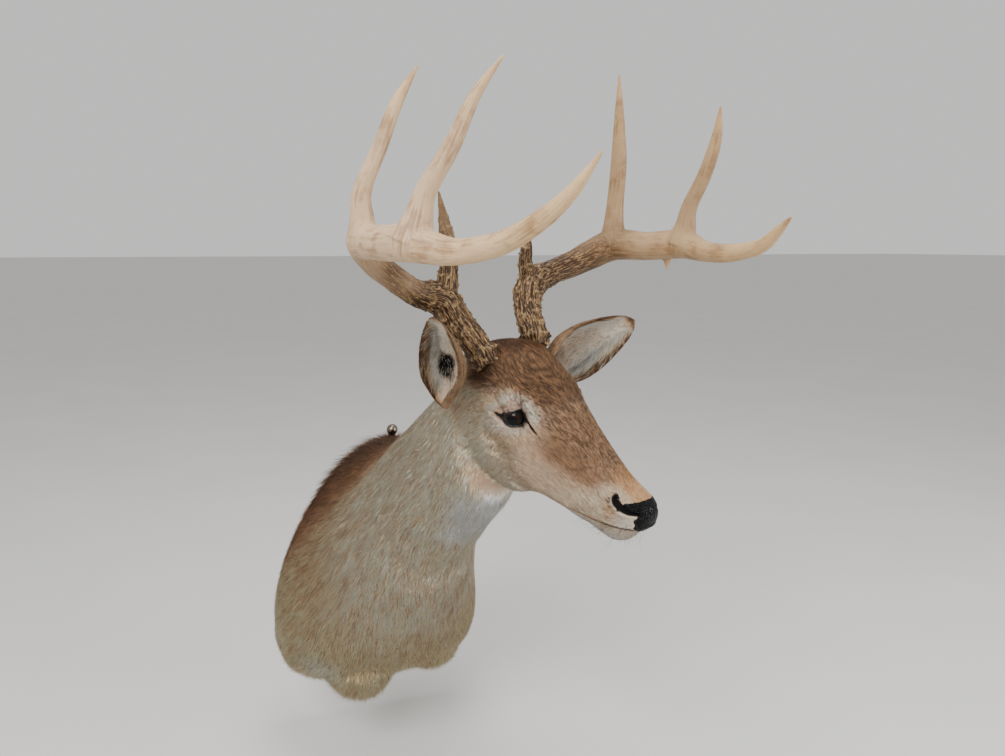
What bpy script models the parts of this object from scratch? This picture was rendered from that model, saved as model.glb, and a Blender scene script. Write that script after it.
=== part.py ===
"""Deer shoulder mount: a white-tailed buck's head, neck and shoulders on a wall board.

Row frame, metres: +Z up, the wall is the plane y = 0 and the deer looks out towards -Y,
turned to its own left (+X).  The origin is the middle of the board's flat back.
The head has a frame of its own: x forward along the face, y to the deer's left, z up,
with its origin midway between the eyes.
"""
import math

import bmesh
import bpy
import numpy as np
from mathutils import Matrix

GAP = 0.0003                    # between two solids that touch

# ------------------------------------------------------------------ driving sizes
EYE_LINE = (0.147, -0.420, 0.320)   # head origin in the row frame
HEAD_TURN = math.radians(24.0)      # towards the deer's left
HEAD_DROP = math.radians(10.3)      # nose below the horizontal

BOARD_THICK = 0.019
BOARD_SHARE = 0.86                  # of the hide's own outline at the wall

EYE_RADIUS = 0.0165
EYE_CENTRE = (0.002, 0.0440, 0.000)

COAT = (0.50, 0.37, 0.25)
BONE = (0.72, 0.64, 0.52)


def smooth_rows(rows, at):
    """Catmull-Rom through the rows, one row at each whole number of the parameter."""
    rows = np.asarray(rows, float)
    at = np.clip(np.asarray(at, float), 0, len(rows) - 1)
    i = np.minimum(at.astype(int), len(rows) - 2)
    t = (at - i)[:, None]
    ext = np.vstack([2 * rows[0] - rows[1], rows, 2 * rows[-1] - rows[-2]])
    a, b, c, d = ext[i], ext[i + 1], ext[i + 2], ext[i + 3]
    return 0.5 * (2 * b + (c - a) * t + (2 * a - 5 * b + 4 * c - d) * t ** 2
                  + (3 * b - a - 3 * c + d) * t ** 3)


def head_axes():
    """Columns are the head's forward, left and up directions in the row frame."""
    st, ct = math.sin(HEAD_TURN), math.cos(HEAD_TURN)
    sd, cd = math.sin(HEAD_DROP), math.cos(HEAD_DROP)
    return np.array([[st * cd, ct, st * sd], [-ct * cd, st, -ct * sd], [-sd, 0, cd]])


def from_head(points):
    """Head-frame points, in metres, to the row frame."""
    return np.asarray(points, float) @ head_axes().T + np.array(EYE_LINE)


def to_head(points):
    return (np.asarray(points, float) - np.array(EYE_LINE)) @ head_axes()


# ------------------------------------------------------------------ the hide's sections
# Neck and trunk, row frame, centimetres, from the wall forwards:
# top point, bottom point, half-width to the right and left, turn of the section's
# sideways direction in degrees, height of the widest place, fullness above and below.
TRUNK = [
    ((3.0, -0.08, 19.8), (0.6, -0.08, -19.0), 19.3, 16.0, 0, 0.26, 1.7, 3.7),
    ((3.0, -1.2, 19.9), (0.9, -8.0, -18.3), 18.8, 15.3, 5, 0.27, 1.7, 3.2),
    ((3.0, -3.2, 20.0), (1.8, -16.0, -14.8), 16.8, 13.4, 10, 0.30, 1.75, 2.7),
    ((3.2, -6.5, 20.7), (2.7, -23.0, -7.8), 13.6, 11.2, 14, 0.34, 1.8, 2.4),
    ((3.8, -10.5, 22.3), (4.0, -26.8, -0.5), 11.0, 9.5, 18, 0.38, 1.9, 2.2),
    ((4.8, -15.0, 25.0), (5.5, -29.2, 6.3), 9.2, 8.4, 20, 0.42, 2.0, 2.1),
    ((6.2, -20.5, 28.8), (7.9, -32.8, 12.2), 7.9, 7.6, 22, 0.46, 2.1, 2.1),
    ((8.2, -26.0, 33.6), (10.4, -36.1, 17.4), 6.9, 6.9, 23, 0.50, 2.1, 2.1),
]
# Head, head frame, centimetres: top (x, z), bottom (x, z), half-width, height of the
# widest place, fullness above and below.
HEAD = [
    ((-13.2, 4.0), (-3.8, -12.4), 6.6, 0.55, 2.1, 2.0),
    ((-9.8, 6.6), (-0.6, -11.6), 6.5, 0.62, 2.3, 1.9),
    ((-6.6, 7.5), (0.9, -10.9), 6.5, 0.64, 2.4, 1.8),
    ((-3.6, 6.9), (2.2, -10.4), 6.45, 0.66, 2.4, 1.8),
    ((-0.6, 5.5), (3.6, -10.2), 6.0, 0.67, 2.4, 1.8),
    ((2.2, 4.2), (5.2, -10.2), 5.2, 0.64, 2.3, 1.8),
    ((5.0, 2.8), (7.2, -10.2), 4.3, 0.58, 2.2, 1.9),
    ((7.8, 1.2), (9.4, -10.3), 3.6, 0.50, 2.2, 2.0),
    ((10.4, -0.4), (11.6, -10.2), 3.2, 0.44, 2.2, 2.1),
    ((12.8, -2.0), (13.5, -10.4), 3.05, 0.43, 2.3, 2.1),
    ((14.8, -3.15), (15.1, -10.4), 2.95, 0.47, 2.4, 2.1),
    ((16.0, -3.8), (16.4, -9.8), 2.7, 0.50, 2.4, 2.1),
    ((16.9, -4.15), (17.3, -8.4), 2.35, 0.50, 2.5, 2.3),
    ((17.65, -4.5), (18.0, -7.8), 2.0, 0.50, 2.5, 2.3),
    ((18.2, -4.95), (18.4, -7.2), 1.45, 0.50, 2.3, 2.2),
    ((18.5, -5.55), (18.55, -6.4), 0.6, 0.50, 2.0, 2.0),
]


def section_rows():
    """Every section as top xyz, bottom xyz, sideways xyz, widths, height and fullness."""
    rows = []
    for top, bottom, right, left, turn, high, up, low in TRUNK:
        side = (math.cos(math.radians(turn)), math.sin(math.radians(turn)), 0)
        rows.append([*(np.array(top) / 100), *(np.array(bottom) / 100), *side,
                     right / 100, left / 100, high, up, low])
    side = head_axes()[:, 1]
    for (tx, tz), (bx, bz), half, high, up, low in HEAD:
        top = from_head((tx / 100, 0, tz / 100))
        bottom = from_head((bx / 100, 0, bz / 100))
        rows.append([*top, *bottom, *side, half / 100, half / 100, high, up, low])
    return rows


NECK_ROW = len(TRUNK)              # the row where the head begins
LAST_ROW = len(TRUNK) + len(HEAD) - 1
NOSE_ROW = LAST_ROW - 3            # the row where the bare nose begins


def hide_rings(at, sides):
    """Rings of the hide at the section numbers `at`, each with `sides` points."""
    rows = smooth_rows(section_rows(), at)
    top, bottom, side = rows[:, 0:3], rows[:, 3:6], rows[:, 6:9]
    right, left, high, up, low = rows[:, 9], rows[:, 10], rows[:, 11], rows[:, 12], rows[:, 13]
    side = side / np.linalg.norm(side, axis=1)[:, None]
    angle = np.arange(sides) * 2 * math.pi / sides
    c, s = np.cos(angle)[None], np.sin(angle)[None]
    power = np.where(s >= 0, up[:, None], low[:, None])
    across = np.sign(c) * np.abs(c) ** (2 / power)
    across = np.where(across >= 0, left[:, None] * across, right[:, None] * across)
    rise = np.sign(s) * np.abs(s) ** (2 / power)
    rise = np.where(s >= 0, high[:, None] + (1 - high[:, None]) * rise,
                    high[:, None] * (1 + rise))
    return (bottom[:, None] + rise[..., None] * (top - bottom)[:, None]
            + across[..., None] * side[:, None])


# Swellings and hollows of the head, head frame, centimetres, on both sides:
# centre, reach along x, y, z, and height along the skin's normal.
HEAD_FORMS = [
    ((0.3, 5.4, 2.4), (2.6, 1.8, 1.2), 0.55),       # brow over the eye
    ((0.7, 5.6, -0.1), (2.1, 1.8, 1.15), -0.95),    # eye socket
    ((4.3, 4.6, -1.4), (1.3, 1.4, 0.6), -0.25),     # tear pit
    ((-1.5, 5.4, -2.2), (3.5, 1.8, 1.3), 0.25),     # cheek bone
    ((-1.5, 4.5, -7.0), (3.6, 2.2, 2.6), 0.45),     # jaw muscle
    ((7.2, 3.6, -5.0), (2.4, 1.6, 2.0), -0.25),     # hollow before the cheek
    ((16.2, 2.4, -4.6), (1.3, 1.2, 1.1), 0.28),     # nostril
    ((13.4, 2.8, -6.9), (2.6, 1.2, 1.0), 0.18),     # upper lip
    ((-6.4, 4.4, 6.2), (1.8, 1.8, 1.6), 0.75),      # root of the antler
]


NEAR = 0.02               # section numbers between the rings that give a surface's slope


def hide_surface(at, sides, grow=0.0):
    """The hide with its swellings, grown outwards by `grow` metres."""
    at = np.asarray(at, float)
    rings = hide_rings(at, sides)
    along = hide_rings(np.minimum(at + NEAR, LAST_ROW), sides) - hide_rings(np.maximum(at - NEAR, 0), sides)
    around = np.roll(rings, -1, axis=1) - np.roll(rings, 1, axis=1)
    normal = np.cross(around, along)
    normal /= np.linalg.norm(normal, axis=2)[..., None]
    local = to_head(rings) * 100
    push = np.zeros(rings.shape[:2])
    for centre, reach, height in HEAD_FORMS:
        for mirror in (1, -1):
            off = (local - np.array(centre) * (1, mirror, 1)) / np.array(reach)
            push += height * np.exp(-(off ** 2).sum(axis=2))
    return rings + normal * (push / 100 + grow)[..., None]


# ------------------------------------------------------------------ mesh helpers
MODEL = bpy.data.collections.new("deer_shoulder_mount")
CUTTERS = bpy.data.collections.new("cutters")


def material(name, colour, roughness, metallic=0.0):
    found = bpy.data.materials.get(name)
    if found:
        return found
    made = bpy.data.materials.new(name)
    made.use_nodes = True
    shader = made.node_tree.nodes["Principled BSDF"]
    shader.inputs["Base Color"].default_value = (*colour, 1)
    shader.inputs["Roughness"].default_value = roughness
    shader.inputs["Metallic"].default_value = metallic
    return made


def add_mesh(name, points, faces, look, collection=None):
    mesh = bpy.data.meshes.new(name)
    mesh.from_pydata([tuple(p) for p in points], [], faces)
    mesh.validate()
    obj = bpy.data.objects.new(name, mesh)
    (collection or MODEL).objects.link(obj)
    if look:
        mesh.materials.append(look)
    work = bmesh.new()
    work.from_mesh(mesh)
    bmesh.ops.recalc_face_normals(work, faces=work.faces)
    work.to_mesh(mesh)
    work.free()
    mesh.shade_smooth()
    mesh.set_sharp_from_angle(angle=math.radians(35))
    return obj


def ring_solid(name, rings, look, collection=None):
    """A closed solid through rings of points, each end closed by a fan."""
    count, sides = rings.shape[:2]
    points = [*rings.reshape(-1, 3), rings[0].mean(axis=0), rings[-1].mean(axis=0)]
    first, last = count * sides, count * sides + 1
    faces = []
    for i in range(count - 1):
        for j in range(sides):
            k = (j + 1) % sides
            a, b, c, d = i * sides + j, i * sides + k, (i + 1) * sides + k, (i + 1) * sides + j
            faces += [(a, b, c), (a, c, d)]
    for j in range(sides):
        k = (j + 1) % sides
        faces.append((first, j, k))
        faces.append((last, (count - 1) * sides + k, (count - 1) * sides + j))
    return add_mesh(name, points, faces, look, collection)


def sheet_solid(name, outer, inner, look):
    """A closed solid between two grids of points that share their edges' order."""
    rows, cols = outer.shape[:2]
    points = [*outer.reshape(-1, 3), *inner.reshape(-1, 3)]
    other = rows * cols
    faces = []
    for i in range(rows - 1):
        for j in range(cols - 1):
            a = i * cols + j
            for face in ((a, a + 1, a + 1 + cols), (a, a + 1 + cols, a + cols)):
                faces += [face, tuple(other + k for k in reversed(face))]
    edge = [*range(cols), *range(2 * cols - 1, other, cols)]
    edge += [*range(other - 2, other - cols - 1, -1), *range(other - 2 * cols, 0, -cols)]
    for a, b in zip(edge, edge[1:] + edge[:1]):
        faces.append((a, other + a, other + b, b))
    return add_mesh(name, points, faces, look)


def move_to(obj, collection):
    for held in list(obj.users_collection):
        held.objects.unlink(obj)
    collection.objects.link(obj)


def cutter(obj):
    """Marks a solid as a cutter, which is not part of the model."""
    move_to(obj, CUTTERS)
    obj.hide_render = True
    obj.display_type = "WIRE"
    return obj


def cut(obj, tool, operation="DIFFERENCE"):
    mod = obj.modifiers.new("cut " + tool.name, "BOOLEAN")
    mod.operation = operation
    mod.solver = "EXACT"
    mod.object = tool


# ------------------------------------------------------------------ head, neck and trunk
# First and last section number, half the cut at each end in section numbers, rings and
# sides of a ring.
LENGTHS = {
    "trunk": (0.0, 4.0, 0.0, 0.003, 10, 36),
    "neck": (4.0, NECK_ROW + 0.6, 0.003, 0.003, 8, 36),
    "head": (NECK_ROW + 0.6, NOSE_ROW, 0.003, 0.016, 22, 36),
    "nose": (NOSE_ROW, LAST_ROW, 0.016, 0.0, 7, 20),
}
ROOM_PAST = 0.3           # section numbers that a cutter runs past its length's ends


def ring_places(name):
    start, end, cut_start, cut_end, count, _ = LENGTHS[name]
    return np.linspace(start + cut_start, end - cut_end, count)


def build_hide():
    coat = material("coat", COAT, 0.85)
    looks = {"nose": material("nose", (0.02, 0.02, 0.022), 0.4)}
    return {name: ring_solid(name, hide_surface(ring_places(name), LENGTHS[name][-1]),
                             looks.get(name, coat)) for name in LENGTHS}


def hide_room(*names):
    """A cutter that follows the facets of one or more lengths, a gap outside them."""
    at = np.concatenate([ring_places(name) for name in names])
    at = [max(at[0] - ROOM_PAST, 0), *at, min(at[-1] + ROOM_PAST, LAST_ROW)]
    sides = LENGTHS[names[0]][-1]
    return cutter(ring_solid("_".join(names) + "_room", hide_surface(at, sides, GAP), None))


def build_eyes(head):
    brown = material("eye", (0.05, 0.025, 0.012), 0.08)
    x, y, z = EYE_CENTRE
    for side, mirror in (("right", -1), ("left", 1)):
        for name, radius in (("eye_", EYE_RADIUS), ("eye_room_", EYE_RADIUS + GAP)):
            bpy.ops.mesh.primitive_uv_sphere_add(segments=14, ring_count=8, radius=radius,
                                                 location=from_head((x, y * mirror, z)))
            ball = bpy.context.object
            ball.name = name + side
            move_to(ball, MODEL)
            if name == "eye_room_":
                cut(head, cutter(ball))
            else:
                ball.data.materials.append(brown)
                ball.data.shade_smooth()


# The mouth: its corner (x, z) in the head frame, centimetres, and its rise forwards.
MOUTH_CORNER = (9.3, -8.6)
MOUTH_RISE = math.radians(7.0)
JAW_BOX = (0.12, 0.10, 0.05)        # length, width and height of the part below the mouth


def mouth_box(name, grow):
    """A box in front of the mouth's corner and below the mouth's line."""
    length, width, height = JAW_BOX
    bpy.ops.mesh.primitive_cube_add(size=1)
    obj = bpy.context.object
    obj.name = name
    frame = Matrix([[*row, shift] for row, shift in zip(head_axes(), EYE_LINE)] + [[0, 0, 0, 1]])
    obj.matrix_world = (
        frame @ Matrix.Translation((MOUTH_CORNER[0] / 100, 0, MOUTH_CORNER[1] / 100))
        @ Matrix.Rotation(-MOUTH_RISE, 4, "Y")
        @ Matrix.Translation((length / 2 - grow, 0, grow - height / 2))
        @ Matrix.Diagonal((length, width, height, 1)))
    return cutter(obj)


def build_jaw(head):
    """Parts the chin and lower lip from the head along the closed mouth."""
    jaw = head.copy()
    jaw.data = head.data.copy()
    jaw.name = "lower_jaw"
    MODEL.objects.link(jaw)
    cut(head, mouth_box("jaw_room", GAP))
    cut(jaw, mouth_box("jaw_block", 0.0), "INTERSECT")


# Foreleg stubs, row frame, centimetres: centre, half-width across and fore-and-aft.
LEGS = {
    "leg_right": [((-6.0, -11.0, -10.0), 5.2, 5.6), ((-5.8, -11.8, -14.5), 5.0, 5.3),
                  ((-5.2, -12.8, -17.4), 4.3, 4.7), ((-4.6, -13.2, -19.0), 2.9, 3.2),
                  ((-4.2, -13.4, -19.7), 1.1, 1.3)],
    "leg_left": [((8.0, -8.0, -8.0), 4.6, 5.4), ((7.8, -8.4, -12.8), 4.3, 5.0),
                 ((7.5, -8.8, -16.0), 3.6, 4.4), ((7.3, -9.1, -17.5), 2.4, 3.0),
                 ((7.2, -9.3, -18.1), 0.9, 1.2)],
}
LEG_TURN = math.radians(12)


def leg_rings(rows, at, sides, grow=0.0):
    """Level oval rings down a foreleg's stub."""
    table = smooth_rows([[*centre, across, along] for centre, across, along in rows], at) / 100
    angle = np.arange(sides) * 2 * math.pi / sides
    across = (table[:, 3:4] + grow) * np.cos(angle)
    along = (table[:, 4:5] + grow) * np.sin(angle)
    c, s = math.cos(LEG_TURN), math.sin(LEG_TURN)
    return np.stack([table[:, 0:1] + c * across - s * along, table[:, 1:2] + s * across + c * along,
                     np.repeat(table[:, 2:3], sides, axis=1)], axis=2)


def build_legs(trunk_room):
    coat = material("coat", COAT, 0.85)
    for name, rows in LEGS.items():
        at = np.linspace(0, len(rows) - 1, 8)
        leg = ring_solid(name, leg_rings(rows, at, 16), coat)
        cut(leg, trunk_room)


# ------------------------------------------------------------------ board and hanger
PLATE_WIDE, PLATE_TOP, PLATE_LOW, PLATE_THICK = 0.012, 0.2150, 0.130, 0.002
KNOB = (0.030, 0.2090)              # its x and z
KNOB_RADIUS, KNOB_STEM, KNOB_TALL = 0.0095, 0.004, 0.0145


def board_rings(grow, front, back):
    ring = hide_rings([0.0], 40)[0]
    middle = (ring.min(axis=0) + ring.max(axis=0)) / 2
    flat = (ring - middle) * BOARD_SHARE
    length = np.linalg.norm(flat[:, (0, 2)], axis=1)[:, None]
    flat = flat * (length + grow) / length + middle
    return np.array([np.column_stack([flat[:, 0], np.full(len(flat), y), flat[:, 2]])
                     for y in (front, back)])


PAST_WALL = 0.01          # how far the board's and plate's cutters run out past the wall


def plate_box(name, grow, past):
    """The hanger's strip, let into the board's back, up to the knob above the hide."""
    high, low, depth = PLATE_TOP + grow, PLATE_LOW - grow, PLATE_THICK + grow + past
    bpy.ops.mesh.primitive_cube_add(size=1)
    plate = bpy.context.object
    plate.name = name
    plate.location = (KNOB[0], past - depth / 2, (high + low) / 2)
    plate.scale = (PLATE_WIDE + 2 * grow, depth, high - low)
    bpy.ops.object.transform_apply(location=False, rotation=False, scale=True)
    move_to(plate, MODEL)
    return plate


def build_knob(steel):
    """The hanger's domed knob: a profile turned about the way out from the wall."""
    dome = KNOB_TALL - KNOB_STEM
    angle = np.linspace(0, math.pi / 2, 7)
    profile = [(KNOB_RADIUS * math.sin(a), KNOB_STEM + dome * math.cos(a)) for a in angle]
    profile += [(KNOB_RADIUS / 2, KNOB_STEM), (KNOB_RADIUS / 2, 0.0), (0.0, 0.0)]
    mesh = bpy.data.meshes.new("hanger_knob")
    mesh.from_pydata([(r, 0, z) for r, z in profile],
                     [(i, i + 1) for i in range(len(profile) - 1)], [])
    knob = bpy.data.objects.new("hanger_knob", mesh)
    MODEL.objects.link(knob)
    mesh.materials.append(steel)
    knob.location = (KNOB[0], -PLATE_THICK - GAP, KNOB[1])
    knob.rotation_euler = (math.pi / 2, 0, 0)
    turned = knob.modifiers.new("turn", "SCREW")
    turned.steps = turned.render_steps = 14
    turned.use_merge_vertices = True
    turned.merge_threshold = 0.0001


def build_board(trunk):
    wood = material("board", (0.45, 0.31, 0.18), 0.7)
    steel = material("hanger", (0.45, 0.44, 0.42), 0.3, 1.0)
    board = ring_solid("backboard", board_rings(0, -BOARD_THICK, 0.0), wood)
    board_room = ring_solid("board_room", board_rings(GAP, -BOARD_THICK - GAP, PAST_WALL), None)
    cut(trunk, cutter(board_room))
    plate_box("hanger_plate", 0.0, 0.0).data.materials.append(steel)
    plate_room = cutter(plate_box("plate_room", GAP, PAST_WALL))
    cut(board, plate_room)
    cut(trunk, plate_room)
    build_knob(steel)


# ------------------------------------------------------------------ antlers
# Head frame, centimetres: a point on the beam's or tine's middle line, and the radius
# there.  The beam runs from inside the skull to its tip, and the tines leave it at
# the fork points.  The two sides differ, as on a real buck.
ANTLERS = {
    "left": {
        "beam": [(-6.6, 4.2, 6.0, 1.7), (-7.7, 4.5, 7.8, 1.75), (-10.2, 5.4, 10.2, 1.75),
                 (-11.9, 7.2, 13.0, 2.0), (-12.3, 10.9, 14.4, 1.67), (-12.0, 14.5, 15.6, 1.8),
                 (-11.4, 17.8, 17.1, 2.05), (-9.8, 20.7, 18.8, 2.2), (-4.5, 21.5, 19.6, 1.95),
                 (0.6, 22.0, 20.8, 1.95), (5.4, 20.5, 20.7, 1.32), (10.0, 19.0, 21.4, 1.14),
                 (14.1, 18.3, 23.0, 0.87), (16.4, 17.3, 25.2, 0.6), (18.2, 16.1, 27.0, 0.15)],
        "brow_tine": [(-11.7, 7.2, 12.8, 1.4), (-12.6, 6.3, 15.8, 0.98), (-13.1, 6.6, 18.0, 0.7),
                      (-13.9, 7.4, 19.9, 0.15)],
        "second_tine": [(-9.9, 20.6, 18.9, 1.6), (-10.7, 20.5, 24.8, 1.2), (-10.3, 19.4, 30.1, 1.1),
                        (-10.0, 17.8, 35.3, 0.73), (-9.4, 15.6, 41.2, 0.15)],
        "third_tine": [(0.6, 21.9, 21.0, 1.4), (1.4, 21.0, 25.9, 1.04), (3.3, 20.2, 30.2, 0.9),
                       (4.6, 19.2, 34.4, 0.7), (5.6, 17.3, 38.2, 0.15)],
        "thorn": [(-1.5, 22.0, 20.0, 1.0), (-1.4, 22.2, 18.2, 0.5), (-1.2, 22.4, 16.9, 0.1)],
    },
    "right": {
        "beam": [(-5.8, -4.6, 4.8, 1.7), (-7.1, -5.4, 6.6, 1.7), (-9.7, -6.3, 8.8, 1.85),
                 (-11.8, -8.0, 11.6, 2.0), (-12.4, -11.4, 12.5, 1.6), (-12.3, -14.7, 14.3, 1.52),
                 (-11.9, -17.9, 16.4, 1.6), (-10.3, -20.5, 18.9, 1.85), (-4.6, -21.4, 19.9, 1.85),
                 (0.6, -22.0, 20.8, 1.85), (5.4, -20.6, 20.9, 1.3), (9.8, -19.0, 22.5, 1.1),
                 (13.6, -18.3, 25.1, 0.92), (16.2, -17.6, 27.9, 0.64), (18.0, -16.5, 31.6, 0.15)],
        "brow_tine": [(-11.6, -7.6, 11.8, 1.5), (-12.6, -6.9, 16.4, 1.05), (-13.6, -7.0, 19.8, 0.82),
                      (-14.6, -7.9, 24.5, 0.15)],
        "second_tine": [(-10.4, -20.5, 18.9, 1.4), (-10.9, -20.8, 24.4, 0.96),
                        (-10.3, -19.3, 29.2, 0.82), (-10.1, -17.8, 33.7, 0.67),
                        (-9.8, -15.7, 37.6, 0.15)],
        "third_tine": [(0.5, -21.9, 21.0, 1.4), (1.2, -21.4, 25.9, 1.0), (3.0, -20.2, 30.4, 0.85),
                       (4.1, -19.1, 34.7, 0.58), (5.5, -17.4, 38.5, 0.15)],
    },
}
BURR = (0.62, 0.20, 0.0055)      # its place and spread along the beam, and its height
FORK_POINTS = (3, 7, 9)          # the beam points where a tine leaves


def tube_rings(rows, at, sides, grow=0.0, burr=0.0):
    """Rings square to a smooth path, turned with it as little as possible."""
    fine = np.linspace(0, len(rows) - 1, 40 * (len(rows) - 1) + 1)
    table = smooth_rows(rows, fine)
    line = from_head(table[:, :3] / 100)
    thick = np.maximum(table[:, 3] / 100, 0.0012) + grow
    thick += burr * np.exp(-((fine - BURR[0]) / BURR[1]) ** 2)
    ahead = np.gradient(line, axis=0)
    ahead /= np.linalg.norm(ahead, axis=1)[:, None]
    side = np.zeros_like(line)
    side[0] = np.cross(ahead[0], (0, 0, 1))
    side[0] /= np.linalg.norm(side[0])
    for i in range(1, len(line)):
        side[i] = side[i - 1] - ahead[i] * (side[i - 1] @ ahead[i])
        side[i] /= np.linalg.norm(side[i])
    over = np.cross(ahead, side)
    pick = np.rint(np.asarray(at) * 40).astype(int)
    angle = np.arange(sides) * 2 * math.pi / sides
    ring = np.cos(angle)[None, :, None] * side[pick, None] + np.sin(angle)[None, :, None] * over[pick, None]
    return line[pick, None] + ring * thick[pick, None, None]


def build_antlers():
    bone = material("antler", BONE, 0.5)
    bases, beam_rooms = {}, {}
    for side, lines in ANTLERS.items():
        beam = lines["beam"]
        last = len(beam) - 1
        ends = [0, *FORK_POINTS, last]
        whole_at = np.linspace(0, last, 3 * last + 1)
        room = cutter(ring_solid("beam_room_" + side, tube_rings(beam, whole_at, 8, GAP, BURR[2]), None))
        beam_rooms[side] = room
        names = ["base", "mid_beam", "fork_beam", "end_beam"]
        for name, start, end in zip(names, ends[:-1], ends[1:]):
            at = whole_at[(whole_at >= start - 1e-9) & (whole_at <= end + 1e-9)]
            rings = tube_rings(beam, at, 8, 0, BURR[2])
            for ring, inward in ((0, 1), (-1, -1)):
                if (ring == 0 and start) or (ring == -1 and end != last):
                    step = rings[ring + inward].mean(axis=0) - rings[ring].mean(axis=0)
                    rings[ring] += step / np.linalg.norm(step) * GAP / 2
            piece = ring_solid(f"antler_{side}_{name}", rings, bone)
            if name == "base":
                bases[side] = piece
        for tine, rows in lines.items():
            if tine == "beam":
                continue
            at = np.linspace(0, len(rows) - 1, 3 * (len(rows) - 1) + 1)
            obj = ring_solid(f"antler_{side}_{tine}", tube_rings(rows, at, 8), bone)
            cut(obj, room)
    return bases, beam_rooms


# ------------------------------------------------------------------ ears
EARS = {
    "left": {"base": (-8.8, 6.0, 0.0), "tip": (0.0, 15.3, 10.5), "opens": (0.88, -0.47, -0.06),
             "width": 1.03},
    "right": {"base": (-9.2, -7.7, -1.6), "tip": (-3.5, -15.1, 11.9), "opens": (0.17, -0.84, -0.52),
              "width": 0.84},
}
# Along the ear: half-width, depth of the cup, half the wrap round the opening in degrees.
EAR_SHAPE = [(0.5, 0.5, 170), (1.6, 1.6, 160), (2.4, 2.4, 142), (3.3, 3.3, 120), (3.6, 3.4, 105),
             (3.5, 2.9, 96), (3.1, 2.1, 91), (2.6, 1.4, 87), (2.2, 0.8, 83)]
EAR_THICK = 0.32
EAR_TIP = 0.985                     # the tip's edge, as a share of the length


def ear_surface(side, at, across, inner=0.0):
    """Grid over the ear, from root to tip and from rim to rim; inner moves it inwards."""
    shape_of = EARS[side]
    base, tip, opens = (np.array(shape_of[key]) for key in ("base", "tip", "opens"))
    axis = (tip - base) / np.linalg.norm(tip - base)
    opens = opens - axis * (opens @ axis)
    opens /= np.linalg.norm(opens)
    chord = np.cross(opens, axis)
    shape = smooth_rows(EAR_SHAPE, at * (len(EAR_SHAPE) - 1))
    rounding = np.sqrt(1 - at ** 9) * shape_of["width"]
    wide, deep = shape[:, 0] * rounding, shape[:, 1] * rounding
    wide, deep = wide - np.minimum(inner, 0.4 * wide), deep - np.minimum(inner, 0.4 * deep)
    bend = np.radians(shape[:, 2])[:, None] * across[None]
    return ((base + np.outer(at, tip - base))[:, None]
            + (wide[:, None] * np.sin(bend))[..., None] * chord
            - (deep[:, None] * np.cos(bend))[..., None] * opens)


def build_ears(hide, beams):
    coat = material("ear", COAT, 0.85)
    for side in ("right", "left"):
        at, across = np.linspace(0, EAR_TIP, 10), np.linspace(-1, 1, 10)
        outer = ear_surface(side, at, across)
        inner = ear_surface(side, at, across, EAR_THICK)
        obj = sheet_solid("ear_" + side, from_head(outer / 100), from_head(inner / 100), coat)
        cut(obj, hide)
        cut(obj, beams[side])


def main():
    for obj in list(bpy.data.objects):
        bpy.data.objects.remove(obj)
    for collection in (MODEL, CUTTERS):
        bpy.context.scene.collection.children.link(collection)
    made = build_hide()
    build_legs(hide_room("trunk"))
    build_board(made["trunk"])
    bases, beam_rooms = build_antlers()
    head_room = hide_room("head")
    for base in bases.values():
        cut(base, head_room)
    build_ears(hide_room("neck", "head"), beam_rooms)
    build_eyes(made["head"])
    build_jaw(made["head"])


main()
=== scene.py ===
import math
import bpy
import numpy as np
from mathutils import Matrix


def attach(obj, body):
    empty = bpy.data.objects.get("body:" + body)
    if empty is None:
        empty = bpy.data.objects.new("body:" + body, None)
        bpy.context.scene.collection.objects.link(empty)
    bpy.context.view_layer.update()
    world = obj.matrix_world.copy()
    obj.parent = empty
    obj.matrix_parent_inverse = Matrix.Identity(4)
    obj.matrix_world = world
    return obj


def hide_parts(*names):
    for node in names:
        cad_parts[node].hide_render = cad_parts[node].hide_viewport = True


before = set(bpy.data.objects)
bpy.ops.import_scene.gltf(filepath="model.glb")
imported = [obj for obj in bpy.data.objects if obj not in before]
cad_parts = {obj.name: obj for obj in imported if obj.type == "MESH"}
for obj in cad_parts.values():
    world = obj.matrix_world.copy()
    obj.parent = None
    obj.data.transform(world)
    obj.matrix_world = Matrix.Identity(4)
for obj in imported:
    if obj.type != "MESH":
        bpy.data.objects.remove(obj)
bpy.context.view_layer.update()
chance = np.random.default_rng(11)


def tone(red, green, blue):
    # a screen colour, 0 to 255, as linear light
    part = np.array([red, green, blue]) / 255
    return np.where(part <= 0.04045, part / 12.92, ((part + 0.055) / 1.055) ** 2.4)


def ease(low, high, x):
    # 0 at low, 1 at high, an S-shaped rise between
    t = np.clip((x - low) / (high - low), 0, 1)
    return t * t * (3 - 2 * t)


def hump(x, reach):
    return np.exp(-(x / reach) ** 2)


def norm(vectors):
    return np.linalg.norm(vectors, axis=-1)


def unit(vectors):
    return vectors / np.maximum(norm(vectors)[..., None], 1e-12)


def grain(points, step, seed):
    # value noise, -1 to 1: random numbers at the corners of cubes, blended across each cube
    p = points / step
    cell = np.floor(p).astype(np.int64)
    t = p - cell
    t = t * t * (3 - 2 * t)
    total = np.zeros(p.shape[:-1])
    for corner in np.ndindex(2, 2, 2):
        a, b, c = np.moveaxis(cell + corner, -1, 0)
        code = a * 73856093 ^ b * 19349663 ^ c * 83492791 ^ (seed * 2654435)
        code = (code ^ (code >> 13)) * 1274126177 & 0xffffffff
        code = (code ^ (code >> 15)) * 668265263 & 0xffffffff
        total += np.prod(np.where(corner, t, 1 - t), axis=-1) * (code / 0xffffffff * 2 - 1)
    return total


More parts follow.
